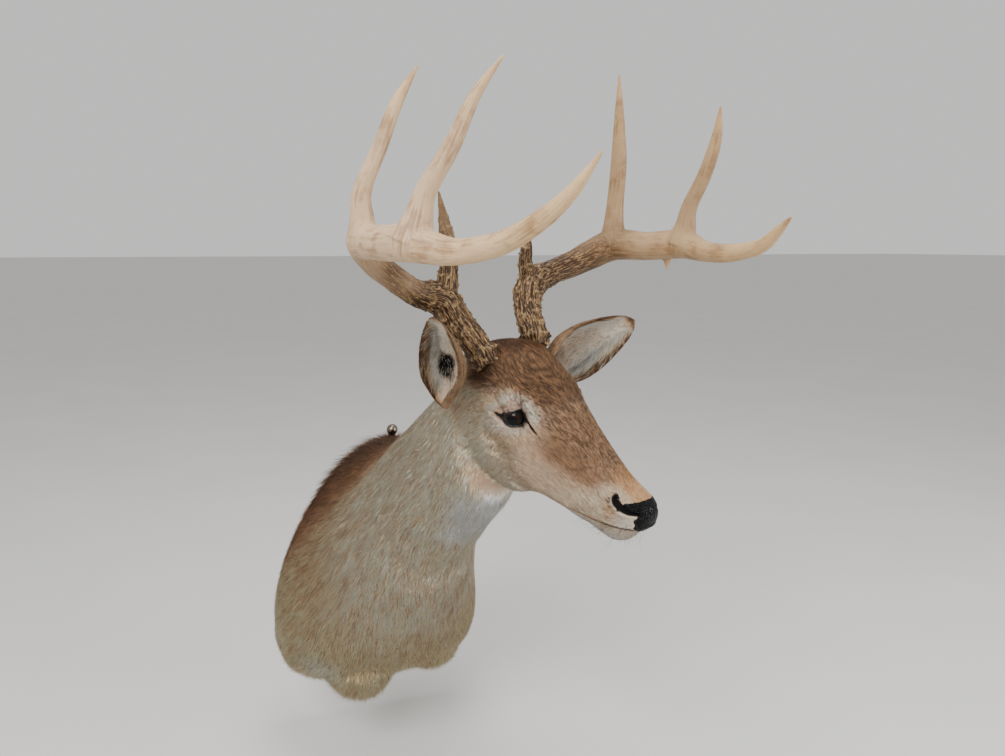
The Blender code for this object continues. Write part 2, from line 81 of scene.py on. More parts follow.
def smoothRows(rows, at):
    # Catmull-Rom: each stretch between two rows is a cubic that also looks at the rows beyond
    rows = np.asarray(rows, float)
    at = np.clip(at, 0, len(rows) - 1)
    i = np.minimum(at.astype(int), len(rows) - 2)
    t = (at - i)[..., None]
    ext = np.vstack([2 * rows[0] - rows[1], rows, 2 * rows[-1] - rows[-2]])
    a, b, c, d = ext[i], ext[i + 1], ext[i + 2], ext[i + 3]
    return 0.5 * (2 * b + (c - a) * t + (2 * a - 5 * b + 4 * c - d) * t ** 2
                  + (3 * b - a - 3 * c + d) * t ** 3)


class Value:
    # a node's output that can be added, multiplied and so on
    def __init__(self, finish, socket):
        self.finish, self.socket = finish, socket

    def __add__(self, other):
        return self.finish.calc("ADD", self, other)

    def __radd__(self, other):
        return self.finish.calc("ADD", other, self)

    def __sub__(self, other):
        return self.finish.calc("SUBTRACT", self, other)

    def __rsub__(self, other):
        return self.finish.calc("SUBTRACT", other, self)

    def __mul__(self, other):
        return self.finish.calc("MULTIPLY", self, other)

    def __rmul__(self, other):
        return self.finish.calc("MULTIPLY", other, self)


class Finish:
    # one material and its Principled shader
    def __init__(self, name, **fixed):
        self.material = bpy.data.materials.new(name)
        self.material.use_nodes = True
        self.tree = self.material.node_tree
        self.feed(**fixed)

    def feed(self, **sockets):
        for name, value in sockets.items():
            self.put(self.tree.nodes["Principled BSDF"].inputs[name.replace("_", " ")], value)

    def put(self, socket, value):
        if isinstance(value, Value):
            self.tree.links.new(value.socket, socket)
        elif np.size(value) == 3 and len(socket.default_value) == 4:
            socket.default_value = (*value, 1)
        else:
            socket.default_value = value

    def node(self, kind, settings=None, sockets=None, out=0):
        made = self.tree.nodes.new("ShaderNode" + kind)
        for key, value in (settings or {}).items():
            if key == "stops":
                for element, (place, colour) in zip(made.color_ramp.elements, value):
                    element.position, element.color = place, (*colour, 1)
            else:
                setattr(made, key, value)
        for key, value in (sockets or {}).items():
            self.put(made.inputs[key], value)
        return Value(self, made.outputs[out])

    def calc(self, operation, a, b):
        return self.node("Math", {"operation": operation}, {0: a, 1: b})

    def attribute(self, name, out=0):
        return self.node("Attribute", {"attribute_name": name}, out=out)

    def place(self):
        return self.node("TexCoord", out=3)

    def scaled(self, where, scale):
        return self.node("Mapping", {}, {"Vector": where, "Scale": scale})

    def noise(self, scale, detail=3.0, where=None, rough=0.5):
        return self.node("TexNoise", {}, {"Vector": where or self.place(), "Scale": scale,
                                          "Detail": detail, "Roughness": rough})

    def between(self, value, low, high):
        # 0 where the value is at low, 1 where it is at high
        return self.node("MapRange", {}, {0: value, 1: low, 2: high})

    def mix(self, share, a, b, blend="MIX"):
        return self.node("Mix", {"data_type": "RGBA", "blend_type": blend}, {0: share, 6: a, 7: b}, out=2)

    def times(self, a, b):
        return self.mix(1.0, a, b, "MULTIPLY")

    def bump(self, height, strength, distance):
        sockets = {"Height": height, "Strength": strength, "Distance": distance}
        self.feed(Normal=self.node("Bump", {}, sockets))


def buildMesh(name, points, faces, finish, smooth=True):
    # faces is a list of whole-number arrays, one row for each face
    mesh = bpy.data.meshes.new(name)
    mesh.vertices.add(len(points))
    mesh.vertices.foreach_set("co", np.ascontiguousarray(points, np.float32).ravel())
    corners = np.concatenate([f.ravel() for f in faces])
    counts = np.concatenate([np.full(len(f), f.shape[1]) for f in faces])
    mesh.loops.add(len(corners))
    mesh.loops.foreach_set("vertex_index", corners.astype(np.int32))
    mesh.polygons.add(len(counts))
    mesh.polygons.foreach_set("loop_start", (np.cumsum(counts) - counts).astype(np.int32))
    mesh.polygons.foreach_set("loop_total", counts.astype(np.int32))
    mesh.update(calc_edges=True)
    mesh.polygons.foreach_set("use_smooth", np.full(len(counts), smooth))
    return newObject(name, mesh, finish)


def newObject(name, thing, finish=None):
    # at the origin; a mesh also gets its finish
    made = bpy.data.objects.new(name, thing)
    bpy.context.scene.collection.objects.link(made)
    if finish:
        dress(thing, finish)
    return made


def dress(mesh, finish):
    mesh.materials.clear()
    mesh.materials.append(finish.material)


def readPoints(mesh, what):
    values = np.empty(len(mesh.vertices) * 3)
    mesh.vertices.foreach_get(what, values)
    return values.reshape(-1, 3)


def paint(piece, colours, name="tint"):
    layer = piece.data.color_attributes.new(name, "FLOAT_COLOR", "POINT")
    full = np.column_stack([colours, np.ones(len(colours))])
    layer.data.foreach_set("color", full.astype(np.float32).ravel())


def addUV(piece, pointUV):
    # one place on the unwrap for each point, carried to the faces' corners
    corners = np.empty(len(piece.data.loops), np.int32)
    piece.data.loops.foreach_get("vertex_index", corners)
    layer = piece.data.uv_layers.new(name="OFBake")
    layer.data.foreach_set("uv", np.ascontiguousarray(pointUV[corners], np.float32).ravel())


def gridFaces(rows, cols):
    # four-cornered faces between neighbours of a grid whose last column joins its first
    i, j = (k.ravel() for k in np.meshgrid(np.arange(rows - 1), np.arange(cols), indexing="ij"))
    k = (j + 1) % cols
    return np.column_stack([i * cols + j, i * cols + k, (i + 1) * cols + k, (i + 1) * cols + j])


def fanFaces(ring, middle, flip=False):
    fan = np.column_stack([np.full(len(ring), middle), np.roll(ring, -1), ring])
    return fan[:, ::-1] if flip else fan


def tubeFaces(count, sides):
    # bands between neighbouring rings and a fan over each end
    return [gridFaces(count, sides), fanFaces(np.arange(sides), count * sides),
            fanFaces(np.arange(sides) + (count - 1) * sides, count * sides + 1, True)]


def tubePiece(name, rings, finish):
    points = np.vstack([rings.reshape(-1, 3), rings[0].mean(axis=0), rings[-1].mean(axis=0)])
    return buildMesh(name, points, tubeFaces(*rings.shape[:2]), finish)


def withEnds(table, last):
    # a tube's values, one for each point of its rings, with those for its two closing points
    return np.vstack([table.reshape(-1, table.shape[-1]), table[0, :1], table[-1, last][None]])


def outward(piece):
    # turns a closed shape's faces the right way if its volume comes out negative
    mesh = piece.data
    mesh.calc_loop_triangles()
    tri = np.empty(len(mesh.loop_triangles) * 3, np.int32)
    mesh.loop_triangles.foreach_get("vertices", tri)
    a, b, c = readPoints(mesh, "co")[tri.reshape(-1, 3)].transpose(1, 0, 2)
    if np.einsum("ij,ij->", a, np.cross(b, c)) < 0:
        mesh.flip_normals()
    return piece


def done(piece, slot, *nodes):
    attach(piece, "root")
    if nodes:
        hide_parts(*nodes)


# trunk and neck, row frame, cm: top point, bottom point, half-width right and left, turn of the
# section in degrees, height of its widest place, fullness above and below; head, head frame, cm:
# top x z, bottom x z, half-width, height of the widest place, fullness above and below
hide = {
    "eyeLine": np.array([0.147, -0.420, 0.320]), "turn": math.radians(24.0), "drop": math.radians(10.3),
    "trunk": [
        ((3.0, -0.08, 19.8), (0.6, -0.08, -19.0), 19.3, 16.0, 0, 0.26, 1.7, 4.5),
        ((3.0, -1.2, 19.9), (0.9, -8.0, -18.3), 18.8, 15.3, 5, 0.27, 1.7, 3.7),
        ((3.0, -3.2, 20.0), (1.8, -16.0, -14.8), 16.8, 13.4, 10, 0.30, 1.75, 2.7),
        ((3.2, -6.5, 20.7), (2.7, -23.0, -7.8), 13.6, 11.2, 14, 0.34, 1.8, 2.4),
        ((3.8, -10.5, 22.3), (4.0, -26.8, -0.5), 11.0, 9.5, 18, 0.38, 1.9, 2.2),
        ((4.8, -15.0, 25.0), (5.5, -29.2, 6.3), 9.2, 8.4, 20, 0.42, 2.0, 2.1),
        ((6.2, -20.5, 28.8), (7.9, -32.8, 12.2), 7.9, 7.6, 22, 0.46, 2.1, 2.1),
        ((8.2, -26.0, 33.6), (10.4, -36.1, 17.4), 6.9, 6.9, 23, 0.50, 2.1, 2.1)],
    "head": [
        ((-13.2, 4.0), (-3.8, -12.4), 6.6, 0.55, 2.1, 2.0),
        ((-9.8, 6.6), (-0.6, -11.6), 6.5, 0.62, 2.3, 1.9),
        ((-6.6, 7.5), (0.9, -10.9), 6.5, 0.64, 2.4, 1.8),
        ((-3.6, 6.9), (2.2, -10.4), 6.45, 0.66, 2.4, 1.8),
        ((-0.6, 5.5), (3.6, -10.2), 6.0, 0.67, 2.4, 1.8),
        ((2.2, 4.2), (5.2, -10.2), 5.2, 0.64, 2.3, 1.8),
        ((5.0, 2.8), (7.2, -10.2), 4.3, 0.58, 2.2, 1.9),
        ((7.8, 1.2), (9.4, -10.3), 3.6, 0.50, 2.2, 2.0),
        ((10.4, -0.4), (11.6, -10.2), 3.2, 0.44, 2.2, 2.1),
        ((12.8, -2.0), (13.5, -10.4), 3.05, 0.43, 2.3, 2.1),
        ((14.8, -3.15), (15.1, -10.4), 2.95, 0.47, 2.4, 2.1),
        ((16.0, -3.8), (16.4, -9.8), 2.7, 0.50, 2.4, 2.1),
        ((16.9, -4.15), (17.3, -8.4), 2.35, 0.50, 2.5, 2.3),
        ((17.65, -4.5), (18.0, -7.8), 2.0, 0.50, 2.5, 2.3),
        ((18.2, -4.95), (18.4, -7.2), 1.45, 0.50, 2.3, 2.2),
        ((18.5, -5.55), (18.55, -6.4), 0.6, 0.50, 2.0, 2.0)],
    # swellings and hollows of the head: centre, reach, height along the skin's normal, cm
    "forms": [
        ((0.3, 5.4, 2.4), (2.6, 1.8, 1.2), 0.55),      # brow
        ((0.7, 5.6, -0.1), (2.1, 1.8, 1.15), -0.6),    # eye socket
        ((4.3, 4.6, -1.4), (1.3, 1.4, 0.6), -0.25),    # tear pit
        ((-1.5, 5.4, -2.2), (3.5, 1.8, 1.3), 0.25),    # cheek bone
        ((-1.5, 4.5, -7.0), (3.6, 2.2, 2.6), 0.45),    # jaw muscle
        ((7.2, 3.6, -5.0), (2.4, 1.6, 2.0), -0.25),    # hollow before the cheek
        ((16.2, 2.4, -4.6), (1.3, 1.2, 1.1), 0.28),    # wing of the nostril
        ((13.4, 2.8, -6.9), (2.6, 1.2, 1.0), 0.18),    # upper lip
        ((-6.4, 4.4, 6.2), (1.8, 1.8, 1.6), 0.75),     # root of the antler
        ((2.6, 5.0, 2.6), (0.9, 1.5, 0.7), -0.16),     # crease before the brow
        ((-3.4, 6.2, -0.2), (0.8, 1.5, 2.0), -0.12),   # fold behind the eye
        ((5.6, 3.6, -7.6), (2.6, 1.4, 0.7), -0.16)],   # groove along the jaw
    # how far the skin lies inside the coat's tips, m, by section: most on the trunk
    "depth": ([0, 2, 5, 8, 9.5, 11, 14, 17, 19, 21, 23],
              [0.0055, 0.0065, 0.0055, 0.0045, 0.0035, 0.0024, 0.0018, 0.0013, 0.0009, 0.0004, 0.0003]),
}
lastRow = len(hide["trunk"]) + len(hide["head"]) - 1


def headAxes():
    # columns: forward along the face, the deer's left, up
    st, ct, sd, cd = (f(hide[k]) for k in ("turn", "drop") for f in (math.sin, math.cos))
    return np.array([[st * cd, ct, st * sd], [-ct * cd, st, -ct * sd], [-sd, 0, cd]])


axes = headAxes()


def fromHead(points):
    # head frame, cm, to the row frame, m
    return np.asarray(points, float) / 100 @ axes.T + hide["eyeLine"]


def toHead(points):
    return (points - hide["eyeLine"]) @ axes * 100


def mirrored(points):
    # head frame, cm, with both sides folded onto the deer's left
    local = toHead(points)
    local[..., 1] = np.abs(local[..., 1])
    return local


def sectionRows():
    rows = []
    for top, bottom, right, left, turn, *form in hide["trunk"]:
        side = (math.cos(math.radians(turn)), math.sin(math.radians(turn)), 0)
        rows.append([*np.array(top) / 100, *np.array(bottom) / 100, *side, right / 100, left / 100, *form])
    for (tx, tz), (bx, bz), half, *form in hide["head"]:
        top, bottom = fromHead((tx, 0, tz)), fromHead((bx, 0, bz))
        rows.append([*top, *bottom, *axes[:, 1], half / 100, half / 100, *form])
    return np.array(rows)


sections = sectionRows()


def hidePoints(u, v):
    # u counts the sections from the wall to the nose, v is the angle round a section: a rounded
    # figure between the section's top and bottom points, |cos v| and |sin v| to the power 2/fullness
    row = smoothRows(sections, u)
    top, bottom, side = row[..., 0:3], row[..., 3:6], unit(row[..., 6:9])
    right, left, high, up, low = (row[..., k] for k in range(9, 14))
    c, s = np.cos(v), np.sin(v)
    power = 2 / np.where(s >= 0, up, low)
    across = np.sign(c) * np.abs(c) ** power * np.where(c >= 0, left, right)
    rise = np.sign(s) * np.abs(s) ** power
    rise = np.where(s >= 0, high + (1 - high) * rise, high * (1 + rise))
    return bottom + rise[..., None] * (top - bottom) + across[..., None] * side


# lines and marks seen from the side, head frame x z, cm, for both sides, with their half-widths
face = {
    "mouth": [(8.6, -8.75), (10.3, -8.5), (12.3, -8.25), (14.3, -7.9), (15.9, -7.7), (17.6, -7.5),
              (19.0, -7.4)],
    "nostril": [(15.0, -4.5), (15.45, -4.95), (16.2, -5.35), (17.0, -5.5), (17.9, -5.4)],
    "nostrilWidth": [0.16, 0.26, 0.30, 0.25, 0.12],
    "hook": [(15.05, -4.45), (15.4, -4.75), (15.62, -5.2), (15.9, -5.7)],
    "hookWidth": [0.20, 0.18, 0.12, 0.05],
    "tear": [(1.4, 1.0), (1.95, 0.5), (2.8, 0.02), (3.5, -0.45), (4.0, -0.9), (4.45, -1.45)],
    "tearWidth": [0.30, 0.27, 0.20, 0.17, 0.12, 0.05],
    "backCorner": [(0.0, -0.45), (-1.1, -0.32), (-2.0, -0.22), (-2.6, 0.0)],
    "backCornerWidth": [0.36, 0.36, 0.22, 0.05],
    "paleAbove": [(-2.7, 0.1), (-1.9, 0.9), (-0.2, 1.95), (0.7, 2.2), (1.8, 1.95), (2.8, 1.35), (3.5, 0.5)],
    "paleAboveWidth": [0.25, 0.32, 0.42, 0.45, 0.42, 0.40, 0.32],
    "paleBelow": [(-2.9, -0.8), (-1.3, -1.3), (0.8, -1.35), (2.1, -0.95), (2.8, -0.5)],
    "paleBelowWidth": [0.35, 0.45, 0.50, 0.40, 0.25],
}
# stubs of foreleg, row frame, cm: middle, reach along and across, lowest height, height of the dome
legs = {"stubs": [((-5.2, -13.4), (5.0, 5.4), -18.5, 6.2), ((7.5, -9.0), (4.2, 4.9), -16.8, 5.2)],
        "turn": math.radians(12), "soft": 0.020}
eye = {
    "centre": np.array([0.2, 4.4, 0.0]), "radius": 1.62, "lid": 0.13,
    # the opening's edge: degrees forwards from straight sideways, degrees above the level
    "rim": [(-42, 1), (-27, 8), (-12, 14), (8, 24), (26, 34), (45, 43), (62, 46), (77, 40), (87, 24),
            (89, 4), (80, -10), (62, -17), (40, -22), (18, -24), (-8, -21), (-28, -12)],
    # how many degrees above the rim the upper lid's crease lies, by degrees round
    "crease": ([-50, 0, 43, 75, 100], [24, 31, 22, 20, 22]),
    # the bare lid across the rim: degrees outside it, height over the eyeball, cm
    "lidPoints": 140,
    "lidProfile": [(-1.0, -0.10), (-1.2, 0.01), (-0.4, 0.07), (1.0, 0.115), (3.0, 0.14), (5.5, 0.16),
                   (8.5, 0.155), (11.5, 0.13), (14.5, 0.04)],
}


def alongLine(local, line):
    # seen from the side: distance to a line, how far along it the nearest place is, 0 to 1, and
    # the line's half-width there
    points, path = local[..., [0, 2]], np.asarray(face[line], float)
    best, share = np.full(points.shape[:-1], 1e9), np.zeros(points.shape[:-1])
    for k in range(len(path) - 1):
        a, run = path[k], path[k + 1] - path[k]
        t = np.clip((points - a) @ run / (run @ run), 0, 1)
        away = norm(points - a - t[..., None] * run)
        nearer = away < best
        best, share = np.where(nearer, away, best), np.where(nearer, (k + t) / (len(path) - 1), share)
    widths = face[line + "Width"]
    return best, share, np.interp(share, np.linspace(0, 1, len(widths)), widths)


def sideMask(local, line, outer, inner, shift=0.0, keep=None):
    # 1 on a line, 0 beyond its half-width times outer
    away, _, wide = alongLine(local, line)
    keep = ease(2.2, 3.2, local[..., 1]) if keep is None else keep
    return ease(wide * outer, wide * inner, away + shift) * keep


def mouthHeight(x):
    return np.interp(x, *np.transpose(face["mouth"]))


def nostrilSide(local):
    # distance from the nostril's slit, its share along, its half-width, and how far above it
    away, share, wide = alongLine(local, "nostril")
    away = away + 3 * ease(1.0, 0.5, local[..., 1])
    return away, share, wide, local[..., 2] - np.interp(local[..., 0], *np.transpose(face["nostril"]))


def eyeAngles(local):
    # degrees round and above the eyeball's centre, the distance from it in cm, the direction
    away = local - eye["centre"]
    r = norm(away)
    turned = np.degrees(np.arctan2(away[..., 0], away[..., 1]))
    above = np.degrees(np.arcsin(np.clip(away[..., 2] / np.maximum(r, 1e-9), -1, 1)))
    return turned, above, r, away / np.maximum(r, 1e-9)[..., None]


def eyeDirections(turned, above):
    a, e = np.radians(turned), np.radians(above)
    return np.stack([np.cos(e) * np.sin(a), np.cos(e) * np.cos(a), np.sin(e)], axis=-1)


def rimLine(count):
    # the opening's edge as a smooth closed line of directions in degrees
    rim = eye["rim"]
    return smoothRows([rim[-1], *rim, rim[0], rim[1]], 1 + np.arange(count) * len(rim) / count)


def rimDistance(turned, above):
    # degrees outside the opening's edge, negative inside it; a place is inside when a line from it
    # in the direction of growing degrees round crosses the edge an odd number of times
    x, y = rimLine(90).T
    nx, ny = np.roll(x, -1), np.roll(y, -1)
    turned, above = turned[..., None], above[..., None]
    away = np.hypot((turned - x) * np.cos(np.radians(above)), above - y).min(axis=-1)
    at = x + (above - y) * (nx - x) / np.where(ny == y, 1, ny - y)
    inside = (((y > above) != (ny > above)) & (turned < at)).sum(axis=-1) % 2 == 1
    return away * np.where(inside, -1, 1)


def skinPoints(u, v):
    # the hide with its swellings, drawn in by the coat's depth, then with its fine features
    p = hidePoints(u, v)
    near = 0.02
    along = hidePoints(np.minimum(u + near, lastRow), v) - hidePoints(np.maximum(u - near, 0), v)
    around = hidePoints(u, v + near) - hidePoints(u, v - near)
    normal = unit(np.cross(around, along))
    local = mirrored(p)
    push = np.zeros(u.shape)
    for centre, reach, height in hide["forms"]:
        push += height * np.exp(-(((local - centre) / reach) ** 2).sum(axis=-1))
    p = p + normal * (push / 100 - np.interp(u, *hide["depth"]))[..., None]
    # grooves: the mouth, the nostrils, the tear line
    local = mirrored(p)
    x, y, z = np.moveaxis(local, -1, 0)
    lips, dip = ease(8.5, 9.6, x) * ease(19.2, 18.6, x), z - mouthHeight(x)
    cut = lips * (-0.32 * hump(dip, 0.11) + 0.10 * hump(dip - 0.33, 0.24) + 0.06 * hump(dip + 0.35, 0.3))
    cut -= 0.14 * lips * ease(0.0, -0.5, dip) * ease(14.0, 17.5, x)
    away, share, wide, above = nostrilSide(local)
    cut -= 0.42 * hump(away, wide)
    cut += 0.12 * hump(away - wide * 1.9, wide * 0.8) * ease(0.2, -0.2, above) * ease(0.95, 0.6, share)
    away, share, _ = alongLine(local, "tear")
    cut -= 0.20 * hump(away, 0.10) * ease(0.3, 0.5, share) * ease(1.05, 0.8, share) * (y > 3)
    # fine folds of skin on the cheeks and above the mouth's corner
    cut += 0.035 * grain(local * (0.5, 0.5, 1.6), 1.0, 4) * ease(16, 12, x) * ease(-7, -3, x)
    return withLegs(withEyes(p + normal * (cut / 100)[..., None]), normal)


def withEyes(p):
    # round each eye the skin follows a ball a lid's thickness larger than the eyeball, and it
    # goes deep behind the eyeball inside the opening
    local = toHead(p)
    side = np.where(local[..., 1] >= 0, 1.0, -1.0)
    local[..., 1] *= side
    close = norm(local - eye["centre"]) < 4.0
    turned, above, r, away = eyeAngles(local[close])
    edge = rimDistance(turned, above)
    upper = ease(0, 12, above) * ease(100, 72, turned)
    wide = 18 + 12 * upper
    # towards the front corner the face runs nearly along the line of sight from the eye's centre,
    # so only what lies close to the ball follows it
    reach = 2.9 + 1.6 * ease(76, 45, turned)
    share = (1 - ease(wide * 0.45, wide + 12, edge)) * ease(reach, reach - 0.7, r)
    fold = np.interp(turned, *eye["crease"])
    crease = 0.15 * hump(edge - fold, 3.0) * upper + 0.06 * hump(edge - 15, 4) * (1 - upper)
    r = r - crease * (1 - share) - 0.10 * hump(edge - fold - 3, 7) * upper * (1 - share)
    ball = eye["radius"] + eye["lid"] - crease - 0.95 * ease(-0.5, -6, edge)
    local[close] = eye["centre"] + away * (r + (ball - r) * share)[..., None]
    local[..., 1] *= side
    return fromHead(local)


def withLegs(p, normal):
    # a stub of foreleg hangs from the underside as a dome: its height over the ground plan is
    # low + tall * (1 - sqrt(1 - d^2)), where d is the distance from its middle as a share of its reach
    c, s = math.cos(legs["turn"]), math.sin(legs["turn"])
    down = ease(0.25, -0.15, normal[..., 2])
    z, soft = p[..., 2], legs["soft"]
    for (cx, cy), (rx, ry), low, tall in legs["stubs"]:
        dx, dy = p[..., 0] * 100 - cx, p[..., 1] * 100 - cy
        d = np.hypot((dx * c + dy * s) / rx, (dy * c - dx * s) / ry)
        dome = low + tall * (1 - np.sqrt(np.clip(1 - d ** 2, 0, 1))) + np.where(d > 1, 50 * (d - 1), 0)
        z = z - down * soft * np.logaddexp(0, (z - dome / 100) / soft)
    return np.concatenate([p[..., :2], z[..., None]], axis=-1)


def withBack(p):
    # keeps the hide clear of the hanger's strip where this comes out over its top edge
    near = hump(p[..., 0] - 0.030, 0.009) * ease(0.10, 0.14, p[..., 2])
    y = np.minimum(p[..., 1], -0.0008 - 0.0024 * np.minimum(near * 1.6, 1))
    return np.stack([p[..., 0], y, p[..., 2]], axis=-1)


# markings, the same for the skin and for its coat
coatTones = {name: tone(*colour) for name, colour in {
    "neck": (168, 136, 110), "upperNeck": (174, 144, 118), "nape": (112, 82, 58), "dorsal": (92, 63, 40),
    "ridge": (62, 41, 26), "shoulder": (141, 109, 83), "trunk": (156, 125, 95), "brisket": (160, 128, 94),
    "cream": (196, 170, 138), "cheek": (170, 140, 115), "pinkCheek": (173, 146, 124),
    "forehead": (104, 76, 52), "crown": (74, 46, 25), "bridge": (124, 95, 70), "bridgeFront": (126, 100, 76),
    "orange": (166, 116, 68), "muzzle": (188, 160, 134), "white": (206, 190, 172), "chin": (198, 170, 150),
    "eyeRing": (200, 183, 164), "underEye": (186, 164, 145), "throat": (190, 178, 162),
    "rust": (158, 112, 74), "lip": (38, 26, 22), "lidSkin": (168, 138, 121), "black": (14, 11, 11),
    "inner": (222, 202, 180), "earEdge": (176, 134, 94), "earBack": (152, 122, 92),
    "eyeDark": (14, 10, 8), "iris": (36, 22, 15), "pupil": (7, 8, 12)}.items()}


def layered(colour, *patches):
    # lays patches over a colour, one after another: each is a share and the name of a tone
    for share, name in patches:
        colour = colour + (coatTones[name] - colour) * np.clip(share, 0, 1)[..., None]
    return colour


def markings(p, u, normal):
    # soft-edged patches, whose edges wander with a slow grain
    wander = grain(p, 0.035, 1) * 0.6 + grain(p, 0.013, 2) * 0.4
    local = mirrored(p)
    x, y, z = np.moveaxis(local, -1, 0)
    wx, wz = x + wander * 0.5, z + wander * 0.45
    depth, height, up, dip = p[..., 1] * -100, p[..., 2] * 100, normal[..., 2], z - mouthHeight(x)
    reach = 3.0 + 0.50 * np.maximum(height, -4) + 2.0 * wander
    spot = norm((p * 100 - (-11.5, -17.3, -11.8)) * (1.0, 1.0, 0.7))
    top = ease(1.6, 3.8, wz + 0.28 * np.maximum(x, 0)) * ease(8.6, 9.8, u)
    bridge = ease(3.6, 6.5, wx) * ease(-4.2, -2.6, wz + 0.231 * (x - 4))
    border = np.interp(z, [-9, -7.8, -5.5, -3.7, -2.5], [9.0, 7.8, 10.6, 13.6, 15.6])
    white = ease(-2.0, 2.2, x + wander * 1.3 - border) * ease(-2.2, -4.2, z + wander * 0.5)
    orange = ease(12.4, 15.4, x + wander) * ease(2.3, 0.9, y + wander * 0.7) * ease(-5.1, -4.6, z)
    chin = ease(8.5, 10.5, x + wander) * ease(-0.2, -0.7, dip)
    throat = ease(-11.2, -13.8, z) * ease(-21.5, -18.5, wz) * ease(7.0, 4.6, y + wander * 0.8)
    colour = layered(
        np.broadcast_to(coatTones["neck"], p.shape),
        (ease(5.0, 8.5, u), "upperNeck"),
        (ease(4.4, 1.8, u + wander * 0.3), "shoulder"),
        (ease(4, -9, height) * ease(5, 2, u), "trunk"),
        (0.85 * ease(0.5, 0.95, up + 0.12 * wander) * ease(9.5, 6, u), "nape"),
        (ease(reach + 4.5, reach - 3.0, depth) * ease(-6, 6, height), "dorsal"),
        (0.8 * ease(reach - 2, reach - 8, depth) * ease(6, 15, height), "ridge"),
        (0.5 * ease(-13.5, -18, height + wander) * ease(0.35, -0.5, up), "brisket"),
        (0.6 * hump(spot + wander, 2.6), "cream"),
        (ease(8.6, 10.2, u), "cheek"),
        (0.7 * ease(-3, -6, wz) * ease(8.8, 9.8, u) * ease(9, 6, x), "pinkCheek"),
        (top * ease(8.6, 3.4, wx), "forehead"),
        (0.9 * top * ease(-2.6, -5.0, wx), "crown"),
        (bridge * ease(15.5, 13, x), "bridge"),
        (ease(10.6, 13.6, wx) * ease(-4.6, -3.2, wz), "bridgeFront"),
        (0.95 * white, "muzzle"),
        (0.6 * white * ease(15.0, 16.6, x) * ease(-5.6, -6.6, z), "white"),
        (0.7 * orange, "orange"),
        (0.6 * hump(np.hypot(x - 15.0, (z + 6.0) * 0.8), 0.8) * ease(1.4, 2.2, y), "rust"),
        (chin, "chin"),
        (0.7 * chin * ease(-8.6, -9.5, z), "white"),
        (0.8 * throat * ease(-10.5, -8.0, x) * ease(4, 1, x), "throat"),
        (0.9 * sideMask(local, "paleBelow", 2.4, 0.0, wander * 0.25), "underEye"),
        (0.8 * sideMask(local, "paleAbove", 2.4, 0.0, wander * 0.25), "eyeRing"))
    colour = nostrilMarks(eyeMarks(colour, local), local)
    return layered(colour, (ease(8.4, 9.4, x) * ease(19.3, 18.8, x) * hump(dip + 0.04, 0.13), "lip")), local


def eyeMarks(colour, local):
    # bare pinkish lid, painted shade along the crease above it, black skin at both corners and down the tear
    # line
    close = (norm(local - eye["centre"]) < 4.5) & (local[..., 1] > 3)
    near = local[close]
    turned, above, r, _ = eyeAngles(near)
    edge, fold = rimDistance(turned, above), np.interp(turned, *eye["crease"])
    upper = ease(0, 10, above) * ease(100, 72, turned) * ease(3.0, 2.2, r)
    colour[close] = layered(
        colour[close], (0.8 * upper * ease(fold + 1, fold - 3, edge), "lidSkin"),
        # painted shade: a dark band in the crown's tone along the lid's crease
        (0.55 * upper * hump(edge - fold, 2.6), "crown"),
        (ease(9.5, 6.5, edge + 1.5 * upper) * ease(2.5, 1.9, r), "black"),
        *((sideMask(near, line, 1.25, 0.7), "black") for line in ("tear", "backCorner")))
    return colour


def nostrilMarks(colour, local):
    # a pale wing below the slit, dark specks round the wing, black inside the slit and over it
    away, share, _, above = nostrilSide(local)
    fine = grain(local, 0.16, 33)
    specks = ease(0.40, 0.15, np.abs(away - 0.80)) * ease(0.0, -0.2, above) * ease(0.7, 0.3, share)
    wide = np.interp(share, [0, 0.2, 0.5, 1], [0.40, 0.46, 0.40, 0.28])
    return layered(colour, (0.55 * ease(0.0, -0.12, above) * ease(0.70, 0.45, away), "white"),
                   (0.85 * specks * ease(0.02, 0.20, fine), "black"),
                   (sideMask(local, "hook", 1.3, 0.7, fine * 0.1, ease(1.0, 1.4, local[..., 1])), "black"),
                   (ease(wide * 1.15, wide * 0.85, away), "black"))


def shadeAtEars(local):
    # dark where the ears come out of the head
    return 0.4 * hump(norm((local - (-8.4, 6.4, -0.4)) * (1, 1, 0.8)), 2.2)


# the skin's grid, and its rings from the edge at the wall inwards and round the board's recess:
# share of the edge's size, distance from the wall
sheet = {"rows": 372, "cols": 212,
         "back": [(0.876, -0.0200), (0.876, -0.004), (0.90, -0.0034), (0.985, -0.0032)]}


def spread(count, low, high, focus):
    # count places from low to high, closer together where focus(x) is large
    fine = np.linspace(low, high, 2000)
    weight = np.cumsum(focus(fine))
    weight = (weight - weight[0]) / (weight[-1] - weight[0])
    return np.interp(np.linspace(0, 1, count), weight, fine)


def alongFocus(u):
    step = norm(np.gradient(hidePoints(u, np.zeros_like(u)), axis=0))
    return step * (1 + 1.3 * ease(8.5, 10, u) + 1.8 * hump(u - 12.1, 1.1) + 0.9 * ease(17, 19, u))


def aroundAngles(u, w):
    # near the eyes the grid's lines gather at the height of the eyes
    return w + 0.55 * hump(u - 12.2, 1.6) * np.sin(2 * (w - 0.30 * np.sign(np.cos(w)))) * -0.5


def wrapped(rows, cols):
    # a grid of places along the hide and once round it, from the underside back to it
    return np.meshgrid(rows, np.arange(cols + 1) * 2 * math.pi / cols - math.pi / 2, indexing="ij")


def directions(p):
    # along, round and outwards at each point of a wrapped grid
    along = np.gradient(p, axis=0)
    around = np.gradient(np.concatenate([p[:, -2:-1], p, p[:, 1:2]], axis=1), axis=1)[:, 1:-1]
    return along, around, unit(np.cross(around, along))


